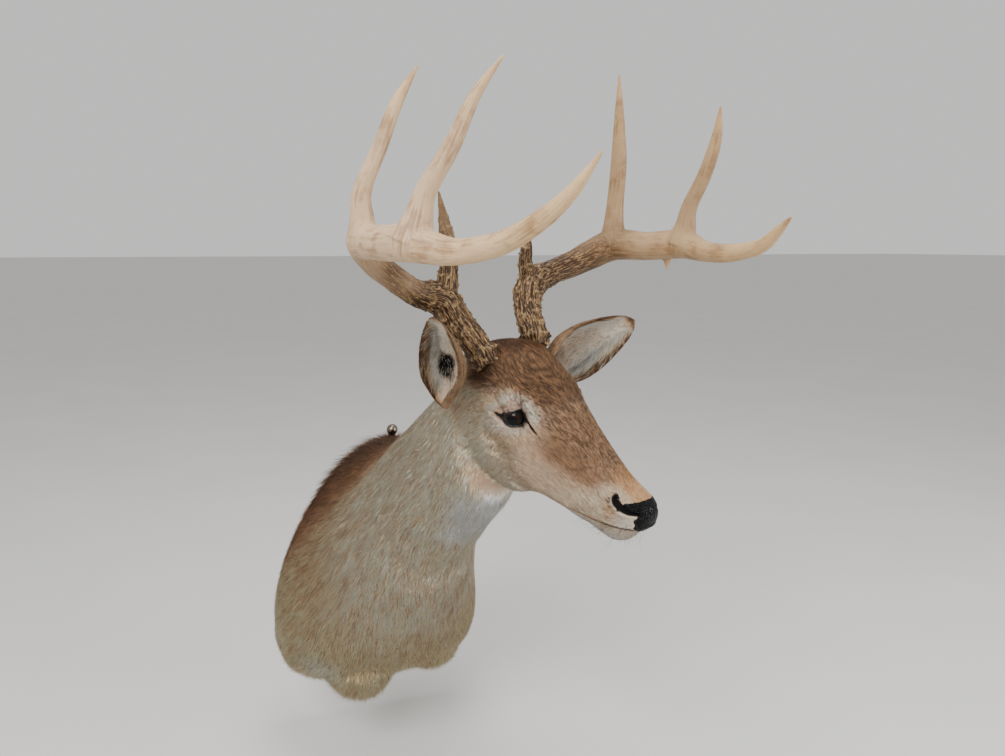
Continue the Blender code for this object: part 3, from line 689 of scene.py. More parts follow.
gridU, gridW = wrapped(spread(sheet["rows"], 0.0, lastRow - 0.04, alongFocus), sheet["cols"])
skin = withBack(skinPoints(gridU, aroundAngles(gridU, gridW)))
skinAlong, skinAround, skinNormal = directions(skin)
skinColour, skinLocal = markings(skin, gridU, skinNormal)
arc = np.concatenate([[0], np.cumsum(norm(np.diff(skin, axis=0)).mean(axis=1))])
skinUV = np.stack(np.broadcast_arrays((gridW + math.pi / 2) / (2 * math.pi) * 0.96 + 0.02,
                                      (arc / arc[-1] * 0.96 + 0.02)[:, None]), axis=-1)


def hideBack():
    edge = skin[0]
    middle = (edge.min(axis=0) + edge.max(axis=0)) / 2
    rings = np.array([middle + (edge - middle) * share for share, _ in sheet["back"]])
    rings[..., 1] = np.array(sheet["back"])[:, 1:]
    return rings


def hideFinish(name, bumpScale):
    coat = Finish(name, Roughness=0.75, Sheen_Weight=0.03, Sheen_Roughness=0.4, Specular_IOR_Level=0.12)
    mottle, strands = coat.noise(90, 4), coat.noise(900, 2, rough=0.6)
    shade = coat.mix(mottle, (0.82, 0.82, 0.82), (1.12, 1.12, 1.12))
    fine = coat.mix(strands, (0.80, 0.80, 0.80), (1.18, 1.18, 1.18))
    coat.feed(Base_Color=coat.times(coat.times(coat.attribute("tint"), shade), fine))
    coat.bump(strands + mottle * 0.6, 0.5, bumpScale)
    return coat


def makeSkin():
    back = hideBack()
    piece = tubePiece("hide_skin", np.concatenate([back, skin])[:, :-1], hideFinish("hide", 0.0006))
    colour = np.concatenate([np.broadcast_to(coatTones["cream"] * 0.8, back.shape), skinColour])[:, :-1]
    paint(piece, np.vstack([colour.reshape(-1, 3) * 0.9, coatTones["cream"], coatTones["lip"]]))
    backUV = np.broadcast_to(skinUV[:1], (len(back), *skinUV.shape[1:]))
    addUV(piece, withEnds(np.concatenate([backUV, skinUV])[:, :-1], -1))
    done(outward(piece), "coat", "trunk", "neck", "head", "lower_jaw", "leg_right", "leg_left")


makeSkin()
print("skin made")


def pick(fields, count, weight):
    # places spread over a grid surface in proportion to its area and the weight
    p = fields["points"]
    cell = norm(np.cross(p[1:, :-1] - p[:-1, :-1], p[:-1, 1:] - p[:-1, :-1]))
    total = np.cumsum((cell * weight[:-1, :-1]).ravel())
    found = np.searchsorted(total, chance.random(count) * total[-1])
    i, j = np.divmod(np.minimum(found, cell.size - 1), cell.shape[1])
    a, b = chance.random((2, count))
    out = {}
    for key, grid in fields.items():
        ta, tb = (a, b) if grid.ndim == 2 else (a[:, None], b[:, None])
        out[key] = ((grid[i, j] * (1 - tb) + grid[i, j + 1] * tb) * (1 - ta)
                    + (grid[i + 1, j] * (1 - tb) + grid[i + 1, j + 1] * tb) * ta)
    out["normals"] = unit(out["normals"])
    return out


# how far a tuft's foot is sunk into the skin, m; its half-width at the root and further out and the
# height of its back, as shares of its width; its tone at the root and what is added towards the
# tip; the half-width and length of its patch on the unwrap
tuft = {"sink": 0.0004, "droop": 0.45, "half": (0.5, 0.42), "back": 0.24, "shade": (0.72, 0.40),
        "brightest": 0.62, "patch": (0.0015, 0.003)}


def tufts(name, at, finish, rings=1):
    # each tuft is a closed three-sided spike: its middle line leaves the skin at the lift's slope
    # and bends back down, root + length * (flow * t + normal * lift * (t - droop * t * t))
    count, n = len(at["points"]), at["normals"]
    flow = unit(at["flow"] - n * (at["flow"] * n).sum(axis=1)[:, None])
    turn = at["spread"] * chance.normal(size=count)
    flow = flow * np.cos(turn)[:, None] + np.cross(n, flow) * np.sin(turn)[:, None]
    side = np.cross(n, flow)
    length = at["length"] * (0.8 + 0.4 * chance.random(count))
    width = at["width"] * (0.75 + 0.5 * chance.random(count))
    lift = at["lift"] * (0.6 + 0.8 * chance.random(count))
    bow = 0.10 * chance.normal(size=count)
    # locks side by side differ a little: a grain drawn out along the hair
    lock = np.concatenate([at["uv"] * at["locks"], np.zeros((count, 1))], axis=1)
    bright = np.clip(1 + at["tick"] * (1.1 * chance.normal(size=count) + 2.8 * grain(lock, 1.0, 41)
                                       + 2.8 * grain(at["points"], at["fleck"], 43)), 0.30, 2.4)
    warm = 1 + 0.05 * chance.normal(size=count)
    foot = at["points"] - n * np.minimum(tuft["sink"], 0.03 * length)[:, None]
    hue = np.stack([warm, np.ones(count), 2 - warm], axis=1)
    root, more = tuft["shade"]
    wide, high = tuft["patch"]
    points, tints, uvs = [], [], []
    for t in np.linspace(0, 1, rings + 1):
        rise = lift * t - tuft["droop"] * lift * t * t
        middle = (foot + flow * (length * t)[:, None] + n * (length * rise)[:, None]
                  + side * (length * bow * t * t)[:, None])
        tint = at["tint"] * (bright * (root + more * t))[:, None] * hue
        half = side * (width * tuft["half"][int(t > 0)])[:, None]
        corners = [middle - half, middle + half, middle + n * (width * tuft["back"])[:, None]]
        spots = [(-wide, 0), (wide, 0), (0, wide / 3)]
        if t == 1:
            corners, spots = [middle], [(0, 0)]
        points += corners
        tints += [tint] * len(corners)
        uvs += [at["uv"] + np.array([sx, sy + high * t - high / 2]) for sx, sy in spots]
    points = np.stack(points, axis=1).reshape(-1, 3)
    points[:, 1] = np.minimum(points[:, 1], -0.0003)
    one = np.vstack([gridFaces(rings, 3)[:, [0, 1, 2, 0, 2, 3]].reshape(-1, 3),
                     fanFaces(np.arange(3) + 3 * rings - 3, 3 * rings, True), [[0, 2, 1]]])
    faces = (one + (np.arange(count) * (3 * rings + 1))[:, None, None]).reshape(-1, 3)
    piece = buildMesh(name, points, [faces], finish)
    paint(piece, np.clip(np.stack(tints, axis=1).reshape(-1, 3), 0, tuft["brightest"]))
    addUV(piece, np.stack(uvs, axis=1).reshape(-1, 2))
    done(outward(piece), "coat")


def split(at, parts):
    # the same places in several lots of equal size, one after another along the body
    return [{key: value if key in ("locks", "fleck") else value[lot] for key, value in at.items()}
            for lot in np.array_split(np.argsort(at["u"]), parts)]


# the coat by section of the hide: length, width, m, unevenness of tone, lightening, slope; dense
# hair shades itself, the more the longer it is, so its own tone is lighter
coatPlan = {
    "length": ([0, 1, 3, 5, 7, 8.5, 9.6, 11, 12.5, 14, 16, 18, 19.5, 22],
               [0.026, 0.026, 0.027, 0.025, 0.023, 0.018, 0.013, 0.009, 0.0075, 0.007, 0.0055, 0.0038,
                0.0026, 0.002]),
    "width": ([0, 5, 8.5, 10, 13, 17, 20], [0.0014, 0.0012, 0.0010, 0.0009, 0.00075, 0.0006, 0.00045]),
    "tick": ([0, 6, 9, 10.5, 12, 15, 18, 20], [0.22, 0.20, 0.18, 0.12, 0.12, 0.17, 0.16, 0.14]),
    "gain": ([0, 8, 9.5, 11, 13, 17, 20], [2.4, 2.35, 2.0, 1.6, 1.32, 1.36, 1.4]),
    "lift": ([0, 0.4, 1.5, 6, 9, 12, 15, 20], [0.30, 0.24, 0.20, 0.19, 0.20, 0.20, 0.28, 0.32]),
    "spread": ([0, 8, 12, 20], [0.16, 0.14, 0.13, 0.2]),
    "sag": ([0, 2, 5, 8, 10, 12], [0.75, 0.65, 0.45, 0.30, 0.12, 0.0]),
    "dense": ([8, 10, 13, 17, 20], [0.5, 0.8, 1.2, 2.0, 2.6]),
    "body": {"count": 168000, "parts": 4, "fleck": 0.0030, "locks": (760, 62)},
    "face": {"count": 126000, "parts": 3, "fleck": 0.0013, "locks": (480, 150)},
    "whiskers": 170,
}


def bySection(key):
    return np.interp(gridU, *coatPlan[key])


def skinFlow():
    # backwards along the body, sagging a little on the sides, more on the brisket
    flow = -unit(skinAlong)
    flow[..., 2] -= bySection("sag")
    flow[..., 1] *= ease(0.0, 0.035, -skin[..., 1])
    wave = grain(skin, 0.06, 7) * 0.16 + grain(skin, 0.02, 8) * 0.08
    return unit(flow + unit(skinAround) * wave[..., None])


nosePad = {"rows": 130, "cols": 150, "from": 18.4, "raise": 0.0005, "sink": 0.0022,
           # the border seen from the side, head frame, cm: heights and places along the face
           "border": ([-9.0, -8.3, -7.5, -6.1, -5.75, -5.5, -5.35, -5.1, -4.8, -4.6, -4.45, -4.3],
                      [18.6, 17.8, 17.7, 17.7, 17.9, 17.9, 16.6, 16.1, 16.2, 16.5, 17.0, 17.7])}


def padMask(local):
    # 1 on the bare nose pad: in front of a border that bends back to the nostrils
    border = np.interp(local[..., 2], *nosePad["border"])
    return ease(-0.10, 0.10, local[..., 0] - border + 0.14 * grain(local, 0.22, 31))


def hairless(local):
    # 1 where there is coat, 0 in the eyes, nostrils, mouth and on the nose pad
    keep = np.ones(local.shape[:-1])
    close = norm(local - eye["centre"]) < 3.4
    turned, above, r, _ = eyeAngles(local[close])
    keep[close] = np.maximum(ease(4, 8, rimDistance(turned, above)), ease(2.1, 2.6, r))
    keep *= ease(0.38, 0.55, nostrilSide(local)[0])
    for line in ("tear", "backCorner"):
        keep *= 1 - sideMask(local, line, 1.5, 1.0)
    x, z = local[..., 0], local[..., 2]
    keep *= 1 - ease(8.6, 9.6, x) * hump(z - mouthHeight(x), 0.13)
    return keep * (1 - padMask(local))


def foreheadShare(local):
    # where dark hairs are mixed in with the brown: the forehead and the bridge
    x, z = local[..., 0], local[..., 2]
    return ease(1.0, 3.5, z + 0.42 * np.maximum(x, 0)) * ease(15, 12, x)


fromEye = norm(skinLocal - (1.2, 4.6, 0.2))


def coatFields():
    flow, length, keep = skinFlow(), bySection("length"), hairless(skinLocal)
    # hair that would lie over the nostril or the dark lines is left out too
    for share in (0.25, 0.5, 0.75, 1.0):
        tip = mirrored(skin + flow * (length * share)[..., None])
        for line in ("tear", "backCorner"):
            keep *= 1 - sideMask(tip, line, 1.1, 0.8)
        keep *= ease(0.25, 0.40, nostrilSide(tip)[0])
    depth, height = -skin[..., 1], skin[..., 2]
    wall = ease(0.02, 0.0, depth) * ease(0.0, 0.15, height)
    ragged = ease(-0.2, -0.8, skinNormal[..., 2]) * ease(-0.07, -0.13, height)
    ridge = ease(0.10, 0.03, depth) * ease(0.10, 0.17, height)
    return {
        "points": skin, "normals": skinNormal, "flow": flow, "uv": skinUV, "u": gridU, "keep": keep,
        "gain": bySection("gain"), "width": bySection("width"),
        "length": length * (1 + 0.35 * ridge) * (1 - 0.5 * ease(4.2, 2.6, fromEye)),
        "lift": bySection("lift") + 0.35 * wall + 0.42 * ragged + 0.25 * ridge,
        "spread": bySection("spread") + 0.35 * ragged + 0.2 * ridge,
        "tick": bySection("tick") + 0.22 * foreheadShare(skinLocal) * ease(9.0, 10.5, gridU)}


def makeCoat(area, share):
    plan = coatPlan[area]
    roots = pick(coatSheet, plan["count"], share)
    colour, local = markings(roots["points"], roots["u"], roots["normals"])
    dark = np.where(chance.random(len(colour)) < 0.34 * foreheadShare(local), 0.42, 1.0)
    roots["tint"] = colour * (roots["gain"] * (1 - shadeAtEars(local)) * dark)[:, None]
    roots.update(fleck=plan["fleck"], locks=plan["locks"])
    for k, lot in enumerate(split(roots, plan["parts"])):
        tufts(f"coat_{area}_{k + 1}", lot, hairFinish)


def makeWhiskers():
    # a few long stiff hairs on the lips, the chin and over the eyes
    x, z = skinLocal[..., 0], skinLocal[..., 2]
    lips = ease(10, 12.5, x) * ease(17.6, 17.0, x) * hump(z - mouthHeight(x) + 0.3, 1.5)
    brows = sideMask(skinLocal, "paleAbove", 1.3, 0.4)
    roots = pick(coatSheet, coatPlan["whiskers"], (lips + 0.06 * brows) * coatSheet["keep"])
    roots.update(length=0.008 + 0.012 * chance.random(coatPlan["whiskers"]), width=0.00022, lift=1.1,
                 spread=0.5, tint=0.03, locks=(1, 1), fleck=1.0)
    tufts("whiskers", roots, hairFinish, 2)


coatSheet = coatFields()
hairFinish = hideFinish("coat_hair", 0.0002)
makeCoat("body", ease(9.4, 8.2, gridU) * coatSheet["keep"])
faceShare = ease(8.0, 9.2, gridU) * coatSheet["keep"] * bySection("dense")
makeCoat("face", faceShare * (1 + 0.9 * ease(4.5, 2.5, fromEye)))
makeWhiskers()
print("coat made")


def makeNose():
    leather = Finish("nose_leather", Specular_IOR_Level=0.05, Coat_Roughness=0.12)
    pebble = 1 - leather.node("TexVoronoi", {"feature": "SMOOTH_F1"},
                              {"Vector": leather.place(), "Scale": 560.0, "Smoothness": 0.25})
    mottle, wet = leather.noise(260, 3), leather.between(leather.noise(800, 2), 0.56, 0.68)
    leather.feed(Base_Color=leather.mix(pebble * mottle, (0.0010, 0.0010, 0.0012), (0.008, 0.007, 0.007)),
                 Roughness=mottle * 0.3 + 0.14, Coat_Weight=wet * 0.9)
    leather.bump(pebble, 1.0, 0.0016)
    p = skinPoints(*wrapped(np.linspace(nosePad["from"], lastRow - 0.02, nosePad["rows"]), nosePad["cols"]))
    lift = -nosePad["sink"] + (nosePad["raise"] + nosePad["sink"]) * padMask(mirrored(p))
    p = p + directions(p)[2] * lift[..., None]
    done(outward(tubePiece("nose_pad", p[:, :-1], leather)), "nose", "nose")


makeNose()
print("nose made")


def eyeFinish():
    glass = Finish("eye_glass", Roughness=0.12, Specular_IOR_Level=0.06, Coat_Roughness=0.02,
                   Coat_Weight=0.14)
    rays = glass.noise(420, 3)
    glass.feed(Base_Color=glass.mix(rays * 0.5, glass.attribute("tint"), (0.004, 0.003, 0.002)))
    return glass


def makeEye(name, side, finish):
    # an eyeball with the iris, a lying oval pupil and a dark edge marked on it, with painted shade darkening
    # its lower part
    above, turned = np.meshgrid(np.linspace(-90, 90, 61), np.linspace(-180, 180, 97)[:-1], indexing="ij")
    away, gaze = eyeDirections(turned, above), unit(np.array([0.42, 0.90, 0.04]))
    ahead, right = away @ gaze, unit(np.cross(gaze, (0, 0, 1)))
    px, pz = away @ right, away @ np.cross(right, gaze)
    iris = ease(0.66, 0.58, np.hypot(px, pz)) * (ahead > 0)
    pupil = ease(1.25, 0.8, np.hypot(px / 0.40, pz / 0.27)) * (ahead > 0)
    colour = layered(np.broadcast_to(coatTones["eyeDark"], away.shape), (iris, "iris"), (pupil, "pupil"))
    local = eye["centre"] + away * (eye["radius"] * (1 + 0.035 * ease(0.80, 0.97, ahead)))[..., None]
    local[..., 1] *= side
    piece = tubePiece("eyeball_" + name, fromHead(local), finish)
    # the colour darkens towards the bottom of the eyeball: painted shade
    paint(piece, withEnds(colour * (0.12 + 0.88 * ease(-14, 3, above))[..., None], 0))
    done(outward(piece), "eye", "eye_" + name)


def makeLid(name, side, finish):
    # a rounded band of bare skin on the opening's edge: it rises out of the gap round the
    # eyeball, turns over the rim, dips under the coat and closes beneath
    rim = rimLine(eye["lidPoints"])
    tangent = np.roll(rim, -1, axis=0) - np.roll(rim, 1, axis=0)
    outwards = unit(np.stack([tangent[:, 1], -tangent[:, 0]], axis=1))
    outwards *= np.sign(((rim - rim.mean(axis=0)) * outwards).sum(axis=1, keepdims=True))
    outwards = unit(outwards + np.roll(outwards, 1, axis=0) + np.roll(outwards, -1, axis=0))
    degrees, rise = np.transpose(eye["lidProfile"])[..., None, None]
    at = rim + outwards * degrees
    local = eye["centre"] + eyeDirections(at[..., 0], at[..., 1]) * (eye["radius"] + rise)
    local[..., 1] *= side
    pale = ease(6.5, 9.5, degrees + 1.5 * ease(0, 10, rim[:, 1:]))
    colour = coatTones["black"] + (coatTones["lidSkin"] * 0.9 - coatTones["black"]) * pale
    rings = fromHead(local)
    rings = np.concatenate([rings, (rings[-1:] + rings[:1]) / 2])
    corners = [(sideMask(mirrored(rings), line, 1.25, 0.7), "black") for line in ("tear", "backCorner")]
    colour = layered(np.concatenate([colour, colour[:1]]), *corners)
    rows, cols = rings.shape[:2]
    faces = gridFaces(rows + 1, cols) % (rows * cols)
    piece = buildMesh("eyelid_" + name, rings.reshape(-1, 3), [faces], finish)
    paint(piece, colour.reshape(-1, 3))
    done(outward(piece), "coat")


def lidFinish():
    bare = Finish("lid_skin", Specular_IOR_Level=0.45)
    fold, tint = bare.noise(700, 3), bare.attribute("tint")
    bare.feed(Base_Color=bare.mix(fold * 0.5, tint, bare.times(tint, (0.6, 0.6, 0.6))),
              Roughness=fold * 0.3 + 0.3)
    bare.bump(fold, 0.4, 0.0003)
    return bare


eyeGlass, lidLeather = eyeFinish(), lidFinish()
for sideName, sign in (("right", -1), ("left", 1)):
    makeEye(sideName, sign, eyeGlass)
    makeLid(sideName, sign, lidLeather)
print("eyes made")


# head frame, cm; opens is the way the cup faces; the canal's opening lies at the given place along and
# across and is painted black as shade, dark giving how strong that painted shade is
ears = {
    "left": {"base": (-8.8, 6.0, 0.0), "tip": (0.0, 15.3, 10.5), "opens": (0.88, -0.47, -0.06),
             "width": 1.03, "canalShade": (0.24, 0.0), "dark": 0.4},
    "right": {"base": (-9.2, -7.7, -1.6), "tip": (-3.5, -15.1, 11.9), "opens": (0.17, -0.84, -0.52),
              "width": 0.84, "canalShade": (0.36, 0.20), "dark": 1.0},
    # along the ear: half-width, depth of the cup, half the wrap round the opening in degrees
    "shape": [(0.5, 0.5, 170), (1.6, 1.6, 160), (2.4, 2.4, 142), (3.3, 3.3, 120), (3.6, 3.4, 105),
              (3.5, 2.9, 96), (3.1, 2.1, 91), (2.6, 1.4, 87), (2.2, 0.8, 83)],
    "thick": 0.30, "inset": 0.10, "rows": 110, "cols": 90, "outerTufts": 10000, "innerTufts": 12000,
    "hair": {"locks": (150, 14), "fleck": 0.0025},
}


def earPoints(side, at, across, inward):
    # across the ear its section is part of an oval, (wide * sin bend, deep * cos bend)
    ear = ears[side]
    base, tip, opens = (np.array(ear[key]) for key in ("base", "tip", "opens"))
    axis = unit(tip - base)
    opens = unit(opens - axis * (opens @ axis))
    shape = smoothRows(ears["shape"], at * (len(ears["shape"]) - 1))
    rounding = np.sqrt(np.clip(1 - at ** 9, 0, 1))
    wide, deep = (shape[..., k] * rounding * ear["width"] for k in (0, 1))
    wide, deep = wide - np.minimum(inward, 0.6 * wide), deep - np.minimum(inward, 0.6 * deep)
    bend, line = np.radians(shape[..., 2]) * across, base + at[..., None] * (tip - base)
    local = line + (wide * np.sin(bend))[..., None] * np.cross(opens, axis)
    return fromHead(local - (deep * np.cos(bend))[..., None] * opens), fromHead(line)


def earSheet(side, inner):
    at, across = np.meshgrid(np.linspace(0, 0.993, ears["rows"]), np.linspace(-1, 1, ears["cols"]),
                             indexing="ij")
    off, inward = np.abs(across), ears["inset"]
    if inner:
        # ribs of gristle and slow waves inside, along the ear
        ribs = (0.10 * np.cos(across * 11 + at * 2) * ease(0.15, 0.4, at) * ease(0.95, 0.6, at)
                * ease(0.95, 0.6, off))
        inward = inward + ears["thick"] * (1 - off ** 5) * ease(1.02, 0.85, at) + ribs
    points, line = earPoints(side, at, across, inward)
    normal = unit(np.cross(np.gradient(points, axis=0), np.gradient(points, axis=1)))
    facing = np.sign((normal * (line - points)).sum(axis=-1).mean())
    wander = grain(points, 0.012, 5) * 0.5
    if inner:
        place, turn = ears[side]["canalShade"]
        # painted shade: the canal's hollow is painted black, as strongly as the ear's dark value
        canalShade = hump(at - place, 0.15) * hump(across - turn + 0.25 * (at - 0.36), 0.33) + 0.5 * wander
        patches = [(0.5 * ease(0.3, 0.0, off) * ease(0.8, 0.3, at), "cheek"),
                   (0.8 * ease(0.62, 0.88, off + 0.12 * wander), "earEdge"),
                   (0.8 * ease(0.88, 0.96, at), "earEdge"),
                   (ease(0.35, 0.75, canalShade) * ears[side]["dark"], "black"),
                   (0.95 * ease(0.86, 0.95, off + 0.03 * wander), "crown"),
                   (0.8 * ease(0.93, 0.98, at), "crown")]
    else:
        rim = ease(0.80, 1.0, off) + ease(0.90, 1.0, at)
        patches = [(0.5 * ease(0.3, -0.4, wander + off - 0.4), "forehead"),
                   (0.8 * np.minimum(rim, 1) * ease(0.4, 0.7, at), "crown"),
                   (0.4 * ease(0.2, 0.0, at), "nape")]
    tint = layered(np.broadcast_to(coatTones["inner" if inner else "earBack"], points.shape), *patches)
    uv = np.stack([(across + 1) * 0.23 + (0.52 if inner else 0.02), at * 0.9 + 0.05], axis=-1)
    return {"points": points, "normals": normal * (facing if inner else -facing), "tint": tint, "uv": uv,
            "flow": unit(np.gradient(points, axis=0)), "at": at, "across": across, "u": at,
            "spread": np.full(at.shape, 0.18), "tick": np.full(at.shape, 0.20)}


def makeEar(side, finish):
    out, inn = earSheet(side, False), earSheet(side, True)
    rings, tints, uv = (np.concatenate([out[key], inn[key][:, -2:0:-1]], axis=1)
                        for key in ("points", "tint", "uv"))
    piece = tubePiece("ear_skin_" + side, rings, finish)
    paint(piece, withEnds(tints, 0))
    addUV(piece, withEnds(uv, -1))
    done(outward(piece), "coat", "ear_" + side)
    at, clear = out["at"], ease(0.10, 0.22, out["at"])
    out.update(length=0.006 + 0.003 * (1 - at), width=np.full(at.shape, 0.00065),
               lift=np.full(at.shape, 0.20))
    tufts("coat_ear_back_" + side, {**pick(out, ears["outerTufts"], clear), **ears["hair"]}, finish)
    # inside, long pale hair leans in from both edges across the opening
    edge = ease(0.25, 0.85, np.abs(inn["across"])) * ease(0.98, 0.75, at)
    sideways = -np.sign(inn["across"])[..., None] * unit(np.gradient(inn["points"], axis=1))
    flow = unit(inn["flow"] * 1.1 + sideways * (0.7 * edge)[..., None] + inn["normals"] * 0.2)
    inn.update(flow=flow, length=0.005 + 0.016 * edge, width=np.full(at.shape, 0.0008),
               lift=0.22 + 0.30 * edge, tint=inn["tint"] * (1.25 + 0.35 * edge)[..., None])
    roots = {**pick(inn, ears["innerTufts"], clear * (0.35 + edge)), **ears["hair"]}
    # pale hairs cross the canal's painted shade
    crossing = chance.random(ears["innerTufts"]) < 0.14
    roots["tint"] = np.where(crossing[:, None], np.maximum(roots["tint"], coatTones["inner"]), roots["tint"])
    tufts("coat_ear_inner_" + side, roots, finish)


earFinish = hideFinish("ear_hide", 0.0003)
for sideName in ("right", "left"):
    makeEar(sideName, earFinish)
print("ears made")


# head frame, cm: a place on the middle line of a beam or tine, and the radius there
antlers = {
    "left": {
        "beam": [(-6.6, 4.2, 6.0, 1.7), (-7.7, 4.5, 7.8, 1.75), (-10.2, 5.4, 10.2, 1.75),
                 (-11.9, 7.2, 13.0, 2.0), (-12.3, 10.9, 14.4, 1.67), (-12.0, 14.5, 15.6, 1.8),
                 (-11.4, 17.8, 17.1, 2.05), (-9.8, 20.7, 18.8, 2.2), (-4.5, 21.5, 19.6, 1.95),
                 (0.6, 22.0, 20.8, 1.95), (5.4, 20.5, 20.7, 1.32), (10.0, 19.0, 21.4, 1.14),
                 (14.1, 18.3, 23.0, 0.87), (16.4, 17.3, 25.2, 0.6), (18.2, 16.1, 27.0, 0.15)],
        "brow_tine": [(-11.7, 7.2, 12.8, 1.4), (-12.6, 6.3, 15.8, 0.98), (-13.1, 6.6, 18.0, 0.7),
                      (-13.9, 7.4, 19.9, 0.15)],
        "second_tine": [(-9.9, 20.6, 18.9, 2.2), (-10.4, 20.6, 21.4, 1.5), (-10.7, 20.5, 24.8, 1.2),
                        (-10.3, 19.4, 30.1, 1.1), (-10.0, 17.8, 35.3, 0.73), (-9.4, 15.6, 41.2, 0.15)],
        "third_tine": [(0.6, 21.9, 21.0, 2.2), (0.9, 21.6, 23.3, 1.4), (1.4, 21.0, 25.9, 1.04),
                       (3.3, 20.2, 30.2, 0.9), (4.6, 19.2, 34.4, 0.7), (5.6, 17.3, 38.2, 0.15)],
        "thorn": [(-1.5, 22.0, 20.0, 1.0), (-1.4, 22.2, 18.2, 0.5), (-1.2, 22.4, 16.9, 0.1)]},
    "right": {
        "beam": [(-5.8, -4.6, 4.8, 1.7), (-7.1, -5.4, 6.6, 1.7), (-9.7, -6.3, 8.8, 1.85),
                 (-11.8, -8.0, 11.6, 2.0), (-12.4, -11.4, 12.5, 1.6), (-12.3, -14.7, 14.3, 1.52),
                 (-11.9, -17.9, 16.4, 1.6), (-10.3, -20.5, 18.9, 1.85), (-4.6, -21.4, 19.9, 1.85),
                 (0.6, -22.0, 20.8, 1.85), (5.4, -20.6, 20.9, 1.3), (9.8, -19.0, 22.5, 1.1),
                 (13.6, -18.3, 25.1, 0.92), (16.2, -17.6, 27.9, 0.64), (18.0, -16.5, 31.6, 0.15)],
        "brow_tine": [(-11.6, -7.6, 11.8, 1.5), (-12.6, -6.9, 16.4, 1.05), (-13.6, -7.0, 19.8, 0.82),
                      (-14.6, -7.9, 24.5, 0.15)],
        "second_tine": [(-10.4, -20.5, 18.9, 2.0), (-10.7, -20.7, 21.3, 1.35), (-10.9, -20.8, 24.4, 1.02),
                        (-10.3, -19.3, 29.2, 0.82), (-10.1, -17.8, 33.7, 0.67), (-9.8, -15.7, 37.6, 0.15)],
        "third_tine": [(0.5, -21.9, 21.0, 2.3), (0.8, -21.7, 23.4, 1.45), (1.2, -21.4, 25.9, 1.05),
                       (3.0, -20.2, 30.4, 0.85), (4.1, -19.1, 34.7, 0.58), (5.5, -17.4, 38.5, 0.15)]},
}
antlerLook = {
    "sides": 20, "voxel": 0.0014, "smooth": 10, "burrAt": 0.66, "burrWide": 0.14, "burrHigh": 0.0060,
    # how far up the antler each tine leaves the beam, m
    "from": {"beam": 0, "brow_tine": 0.05, "second_tine": 0.26, "third_tine": 0.34, "thorn": 0.36},
    # the left antler's bone tone is darker than the right's: painted shade
    "bone": {"left": tone(172, 144, 110), "right": tone(206, 178, 145)},
    "stain": {"left": 0.33, "right": 0.27}, "ivory": tone(210, 176, 130), "brown": tone(104, 68, 38)}


def antlerLine(rows, each):
    # places along a beam or tine with a frame that is turned as little as possible
    fine = np.linspace(0, len(rows) - 1, each * (len(rows) - 1) + 1)
    table = smoothRows(rows, fine)
    line, thick = fromHead(table[:, :3]), np.maximum(table[:, 3] / 100, 0.0010)
    ahead = unit(np.gradient(line, axis=0))
    side = [unit(np.cross(ahead[0], (0, 0, 1)))]
    for way in ahead[1:]:
        side.append(unit(side[-1] - way * (side[-1] @ way)))
    side = np.array(side)
    return fine, line, thick, side, np.cross(ahead, side)


def joinedTubes(lines, finish):
    # tubes round the middle lines, joined into one closed mesh and softened
    sides, points, faces, total = antlerLook["sides"], [], [], 0
    angle = np.arange(sides) * 2 * math.pi / sides
    for rows in lines:
        _, line, thick, across, over = antlerLine(rows, 12)
        ring = line[:, None] + (np.cos(angle)[:, None] * across[:, None]
                                + np.sin(angle)[:, None] * over[:, None]) * thick[:, None, None]
        points.append(np.vstack([ring.reshape(-1, 3), line[:1], line[-1:]]))
        grid, *fans = (f[:, ::-1] for f in tubeFaces(len(line), sides))
        faces.append(np.vstack([grid[:, :3], grid[:, [0, 2, 3]], *fans]) + total)
        total += len(points[-1])
    rough = buildMesh("antler_rough", np.vstack(points), [np.vstack(faces)], finish)
    join, soft = rough.modifiers.new("join", "REMESH"), rough.modifiers.new("soft", "SMOOTH")
    join.mode, join.voxel_size = "VOXEL", antlerLook["voxel"]
    soft.factor, soft.iterations = 0.5, antlerLook["smooth"]
    bpy.context.view_layer.update()
    mesh = bpy.data.meshes.new_from_object(rough.evaluated_get(bpy.context.evaluated_depsgraph_get()))
    bpy.data.objects.remove(rough)
    return mesh


def makeAntler(side, finish):
    mesh = joinedTubes(antlers[side].values(), finish)
    piece = newObject("antler_" + side, mesh, finish)
    mesh.polygons.foreach_set("use_smooth", np.ones(len(mesh.polygons), bool))
    p, tables = weather(side, readPoints(mesh, "co"), readPoints(mesh, "normal"))
    mesh.vertices.foreach_set("co", p.astype(np.float32).ravel())
    mesh.update()
    for name, table in tables.items():
        paint(piece, table, name)
    parts = ["base", "mid_beam", "fork_beam", "end_beam", *(key for key in antlers[side] if key != "beam")]
    done(piece, "antler", *(f"antler_{side}_{part}" for part in parts))


